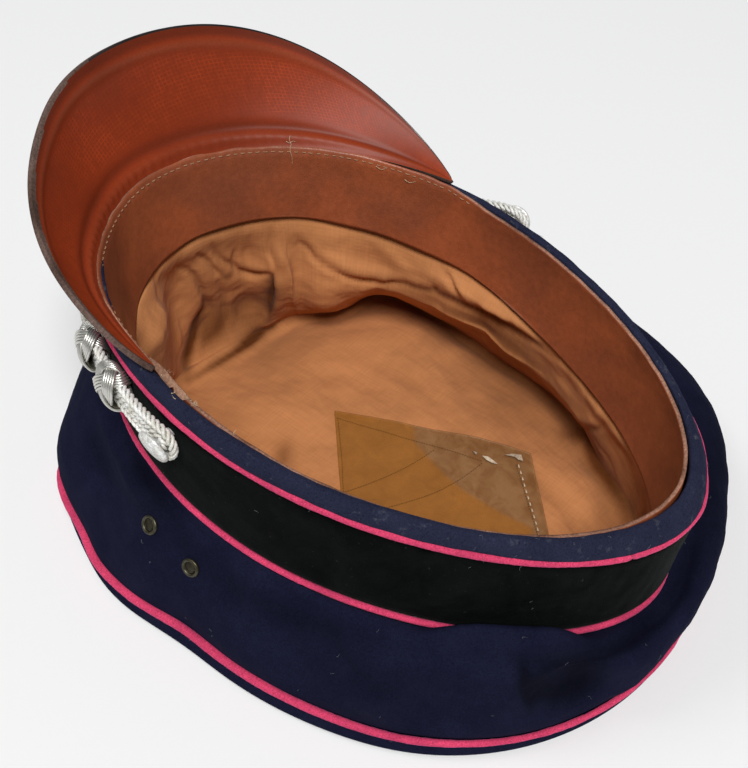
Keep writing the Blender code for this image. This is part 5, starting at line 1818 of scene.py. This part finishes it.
class CAP_OT_slides(bpy.types.Operator):
    """Knotted slides on the chin cord: a woven knot of four silver strands round a core"""

    bl_idname = "cap.slides"
    bl_label = "Knotted slides"

    def execute(self, context):
        silver = bpy.data.materials["silver_cord"]
        core_finish = thread_material("olive_core", (0.085, 0.080, 0.060))
        half = SLIDE_LENGTH / 2
        swing = half - 0.0018
        for name, turn in SLIDE_TURNS:
            point, along, up, out = (np.array(part) for part in cord_frame(turn))

            def barrel(angle, place, lift):
                wide = CORD_SPACING / 2 + CORD_DIAMETER / 2 + 0.0009 + lift
                deep = CORD_DIAMETER / 2 + 0.0018 + lift
                belly = 1.0 - 0.20 * (place / half) ** 2
                deep = np.where(np.cos(angle) < 0, 0.8 * deep, deep)
                return (point + up * (wide * belly * np.sin(angle))[..., None]
                        + out * (deep * belly * np.cos(angle))[..., None]
                        + along * place[..., None])

            travel = np.linspace(0.0, 2 * np.pi * KNOT_LEADS, 260, endpoint=False)
            rate = KNOT_BIGHTS / KNOT_LEADS
            paths = []
            for lane in range(KNOT_LANES):
                shift = (lane - (KNOT_LANES - 1) / 2) * KNOT_PITCH
                slope = -swing * rate * np.sin(rate * travel)
                turned_by = np.hypot(KNOT_REACH, slope)
                place = swing * np.cos(rate * travel) + shift * KNOT_REACH / turned_by
                angle = travel - shift * slope / turned_by / KNOT_REACH + radians(turn * 7.0)
                over = KNOT_LIFT * np.sin(2 * rate * travel)
                paths.append(barrel(angle, place, 0.0010 + over))
            knot = tubes(name, paths, KNOT_RADIUS, closed=True)
            settle(knot, name + "_knot", silver, name, slot="silver_cord")
            core = lay("core", 28, 8, lambda u, v: barrel(
                2 * np.pi * u, (v - 0.5) * 2 * (half - 0.0008), 0.0002))
            thicken(core, CORE_WALL)
            face_outwards(core)
            settle(core, name + "_core", core_finish, slot="silver_cord")
        return {"FINISHED"}


class CAP_OT_fittings(bpy.types.Operator):
    """Domed side buttons and the metal vents with their gauze, over a dark disc of painted shade in
    each hole
    """

    bl_idname = "cap.fittings"
    bl_label = "Buttons and vents"

    def execute(self, context):
        button = silver_material("silver_button", (0.88, 0.88, 0.87), 0.38, 0.25, 900.0)
        r = BUTTON_RADIUS
        head = CORD_DIAMETER / 2 + CLEARANCE
        foot = -(cord_offset() - BAND_PROUD) + CLEARANCE
        profile = [(0.0, foot), (SHANK_RADIUS, foot), (SHANK_RADIUS, head - 0.0002),
                   (0.90 * r, head - 0.0001), (0.985 * r, head + 0.0002), (r, head + 0.0006),
                   (0.985 * r, head + 0.0010), (0.94 * r, head + 0.0013)]
        rim = 0.0013
        profile += [(0.94 * r * np.cos(angle), head + rim + (BUTTON_DOME - rim) * np.sin(angle))
                    for angle in np.linspace(0.08, np.pi / 2, 12)]
        for name, turn in (("button_right", BUTTON_NEAR_TURN), ("button_left", BUTTON_FAR_TURN)):
            middle, along, _, out = cord_frame(turn)
            out = (out + Vector(BUTTON_TILT)).normalized()
            up = out.cross(along).normalized()
            along = up.cross(out)
            piece = turned(name, middle, along, up, out, profile, 56)
            settle(piece, name + "_head", button, name, slot="silver_button")

        metal = silver_material("aged_metal", tuple(context.scene.cap_colours.aged),
                                0.42, 0.85, 700.0)
        # a dark disc stands in for the shade inside each vent's hole: painted shade
        dark = silver_material("vent_hole_shade", (0.045, 0.040, 0.030), 0.6, 0.6, 1800.0)
        cloth = surface_of(bpy.data.objects["crown_side_cloth"])
        r = VENT_RADIUS
        ring = [(0.50 * r, -0.0010), (0.80 * r, -0.0008), (0.96 * r, 0.0001), (1.00 * r, 0.0005),
                (0.95 * r, 0.0009), (0.84 * r, 0.0012), (0.72 * r, 0.0011), (0.64 * r, 0.0007),
                (0.60 * r, 0.0001), (0.50 * r, -0.0004), (0.50 * r, -0.0010)]
        hole_shade_disc = [(0.0, -0.0006), (0.62 * r, -0.0006), (0.62 * r, 0.0), (0.3 * r, 0.0003),
                 (0.0, 0.0004)]
        for name, turn, place in VENT_ROWS:
            at = crown_side_turn(turn)
            middle, one, other, low, high = (
                Vector(side_point(np.array(at + a), np.array(place + b)))
                for a, b in ((0, 0), (1, 0), (-1, 0), (0, 0.04), (0, -0.04)))
            along = (one - other).normalized()
            out = (low - high).normalized().cross(along).normalized()
            if out.dot(Vector((float(cosine(turn)), float(sine(turn)), 0.3))) < 0:
                out.negate()
            middle = cloth.ray_cast(middle + out * 0.02, -out)[0] or middle
            up = out.cross(along).normalized()
            eyelet = turned(name, middle, along, up, out, ring, 40)
            settle(eyelet, name + "_ring", metal, name, slot="aged_metal")
            wires = []
            for step in range(-GAUZE_WIRES, GAUZE_WIRES + 1):
                gap = step * GAUZE_PITCH
                reach = max((0.60 * r) ** 2 - gap ** 2, 0.0) ** 0.5
                for side, run in ((along, up), (up, along)):
                    wires.append([middle + side * gap + run * reach * share
                                  + out * (0.0002 + 0.00045 * (1 - share ** 2))
                                  for share in np.linspace(-1, 1, 7)])
            settle(tubes("gauze", wires, GAUZE_RADIUS, resolution=0), name + "_gauze", metal,
                   slot="aged_metal")
            # dark disc of painted shade under the gauze, in place of the shaded hole
            settle(turned("hole_shade_disc", middle, along, up, out, hole_shade_disc, 24), name + "_plate", dark,
                   slot="aged_metal")
        return {"FINISHED"}


class CAP_OT_stitches(bpy.types.Operator):
    """Tan stitches along the sweatband, the thread knot and the frayed leather"""

    bl_idname = "cap.stitches"
    bl_label = "Stitches"

    def execute(self, context):
        random = np.random.default_rng(101)
        leather = surface_of(bpy.data.objects["sweatband_leather"])
        turns = np.linspace(STITCH_FROM, STITCH_TO, 4000)
        line = leather_point(turns, np.full(4000, STITCH_DROP / SWEATBAND_DEPTH))
        along = run_along(line)
        paths = []
        for index in range(int(along[-1] / STITCH_PITCH)):
            start = (index + random.uniform(-0.08, 0.08)) * STITCH_PITCH
            stretch = np.linspace(start, start + STITCH_PITCH * random.uniform(0.52, 0.72), 5)
            spots = read_path(line, along, stretch)
            inward = -plan_out(float(np.interp(stretch[2], along, turns)))
            path = []
            for spot, lift in zip(spots, STITCH_LIFTS):
                base = leather.ray_cast(Vector(spot) + inward * 0.004, -inward)[0] or Vector(spot)
                path.append(base + inward * lift + Vector((0, 0, random.uniform(-1, 1) * 0.00006)))
            paths.append(path)
        stitches = tubes("stitches", paths, context.scene.cap_sizes.thread_radius)
        settle(stitches, "sweatband_stitches", thread_material("tan_thread", (0.38, 0.21, 0.12)),
               slot="tan_cotton")

        tree = surface_of(*(bpy.data.objects[name] for name in THREAD_HOSTS))
        strands = []
        for row in THREADS:
            spots = hold_depth(tree, smooth_path(row, 14), 0.0005)
            if len(spots) > 3:
                strands.append([(*spot, 1.0 - 0.6 * index / len(spots))
                                for index, spot in enumerate(spots)])
        for centre, spread, number in TUFTS:
            for _ in range(number):
                spot = on_surface(tree, np.array(centre) + random.normal(size=2) * spread / 2,
                                  0.0002)
                heading = Vector(random.normal(size=3)).normalized()
                if spot is None:
                    continue
                heading.z = abs(heading.z)
                path = [(*spot, 1.0)]
                for step in range(1, 6):
                    heading = (heading + Vector(random.normal(size=3)) * 0.45).normalized()
                    spot = spot + heading * FIBRE_STEP
                    path.append((*spot, 1.0 - 0.15 * step))
                strands.append(path)
        settle(scraps("tatters", tree, TATTERS), "torn_leather",
               edge_material("torn_leather", (0.52, 0.30, 0.20)), slot="brown_leather")
        settle(tubes("tufts", strands, TUFT_RADIUS), "loose_threads",
               thread_material("pale_thread", (0.62, 0.46, 0.31)), slot="tan_cotton")
        return {"FINISHED"}


class CAP_OT_lint(bpy.types.Operator):
    """Pale lint and hairs caught on the wool and the velvet"""

    bl_idname = "cap.lint"
    bl_label = "Lint"

    def execute(self, context):
        random = np.random.default_rng(111)
        paths = []
        for host, number in LINT_HOSTS:
            piece = bpy.data.objects[host]
            points, normals = read_points(piece), read_points(piece, "normal")
            outward = points - np.array((0.0, 0.0, 0.045))
            good = np.flatnonzero((normals * outward).sum(1) > 0)
            for index in random.choice(good, number):
                spot = Vector(points[index] + normals[index] * 0.00008)
                normal = Vector(normals[index])
                heading = Vector(random.normal(size=3))
                path = [(*spot, 0.6)]
                for step in range(random.integers(3, 8)):
                    heading = heading + Vector(random.normal(size=3)) * 0.7
                    heading = (heading - normal * heading.dot(normal) * 0.9).normalized()
                    spot = spot + heading * FIBRE_STEP
                    path.append((*(spot + normal * 0.0001), 1.0 - 0.1 * step))
                paths.append(path)
        settle(tubes("lint", paths, LINT_RADIUS, resolution=0), "pale_lint",
               thread_material("pale_lint", (0.17, 0.18, 0.21)), slot="navy_wool")
        return {"FINISHED"}


class CAP_OT_stage(bpy.types.Operator):
    """Pale floor, soft lights and the camera at the photograph's angle"""

    bl_idname = "cap.stage"
    bl_label = "Stage"

    def execute(self, context):
        make_floor(tuple(context.scene.cap_colours.floor))
        make_lights()
        make_camera()
        context.scene.view_settings.view_transform = "Standard"
        return {"FINISHED"}


def make_floor(colour):
    """Wide pale floor under the cap."""
    bpy.ops.object.select_all(action="DESELECT")
    bpy.ops.mesh.primitive_plane_add(size=8.0)
    floor = bpy.context.object
    floor.name = "floor"
    material, shader = start_material("floor", 0.8, specular=0.1)
    paper = noise(coordinates(shader), 300.0, 2.0)
    tone = shades(paper, colour, (0.3, 0.995), (0.7, 1.0))
    floor.data.materials.append(finish(material, shader, tone, (paper, 0.05, 0.0002)))


# Lights: name, place, size, power; then the surround's colour and strength
LIGHTS = (
    ("key_softbox", (2.36, 1.85, 5.20), 2.30, 330.0),
    ("front_softbox", (1.60, -2.60, 4.60), 2.00, 38.0),
)
SURROUND = ((0.97, 0.98, 1.0, 1.0), 0.17)


def make_lights():
    """Large soft lights and a bright surround."""
    world = bpy.data.worlds.new("surround")
    world.use_nodes = True
    background = world.node_tree.nodes["Background"]
    for key, value in zip(("Color", "Strength"), SURROUND):
        background.inputs[key].default_value = value
    bpy.context.scene.world = world
    for name, place, size, power in LIGHTS:
        light = bpy.data.lights.new(name, "AREA")
        light.shape = "DISK"
        light.size = size
        light.energy = power
        item = link_object(name, light)
        item.location = place
        item.rotation_euler = (-Vector(place)).to_track_quat("-Z", "Y").to_euler()


def make_camera():
    """Camera at the photograph's viewing angle."""
    data = bpy.data.cameras.new("camera")
    long_side = max(PHOTO_SIZE)
    data.sensor_width = SENSOR
    data.lens = FOCAL_PIXELS * SENSOR / long_side
    data.shift_x = (PHOTO_SIZE[0] / 2 - CENTRE_PIXELS[0]) / long_side
    data.shift_y = (CENTRE_PIXELS[1] - PHOTO_SIZE[1] / 2) / long_side
    data.clip_start = 0.02
    camera = link_object("camera", data)
    turn = Matrix((CAMERA_RIGHT, CAMERA_UP, CAMERA_BACK)).transposed()
    camera.matrix_world = Matrix.Translation(CAMERA_PLACE) @ turn.to_4x4()
    bpy.context.scene.camera = camera


class CAP_PT_panel(bpy.types.Panel):
    """Buttons that build the cap piece by piece"""

    bl_idname = "CAP_PT_panel"
    bl_label = "Peaked Cap"
    bl_space_type = "VIEW_3D"
    bl_region_type = "UI"
    bl_category = "Cap"

    def draw(self, context):
        for operator in OPERATORS:
            self.layout.operator(operator.bl_idname)
        for group in (context.scene.cap_sizes, context.scene.cap_colours):
            for key in group.bl_rna.properties.keys():
                if key not in ("rna_type", "name"):
                    self.layout.prop(group, key)


OPERATORS = (CAP_OT_crown, CAP_OT_pipings, CAP_OT_band, CAP_OT_sweatband, CAP_OT_lining,
             CAP_OT_shield, CAP_OT_peak, CAP_OT_chin_cord, CAP_OT_slides, CAP_OT_fittings,
             CAP_OT_stitches, CAP_OT_lint, CAP_OT_stage)
CLASSES = (CapSizes, CapColours) + OPERATORS + (CAP_PT_panel,)


def register():
    for item in CLASSES:
        bpy.utils.register_class(item)
    bpy.types.Scene.cap_sizes = PointerProperty(type=CapSizes)
    bpy.types.Scene.cap_colours = PointerProperty(type=CapColours)


def unregister():
    del bpy.types.Scene.cap_colours
    del bpy.types.Scene.cap_sizes
    for item in reversed(CLASSES):
        bpy.utils.unregister_class(item)


def main():
    """Build every piece in order."""
    register()
    for operator in OPERATORS:
        group, name = operator.bl_idname.split(".")
        getattr(getattr(bpy.ops, group), name)()


if __name__ == "__main__":
    main()
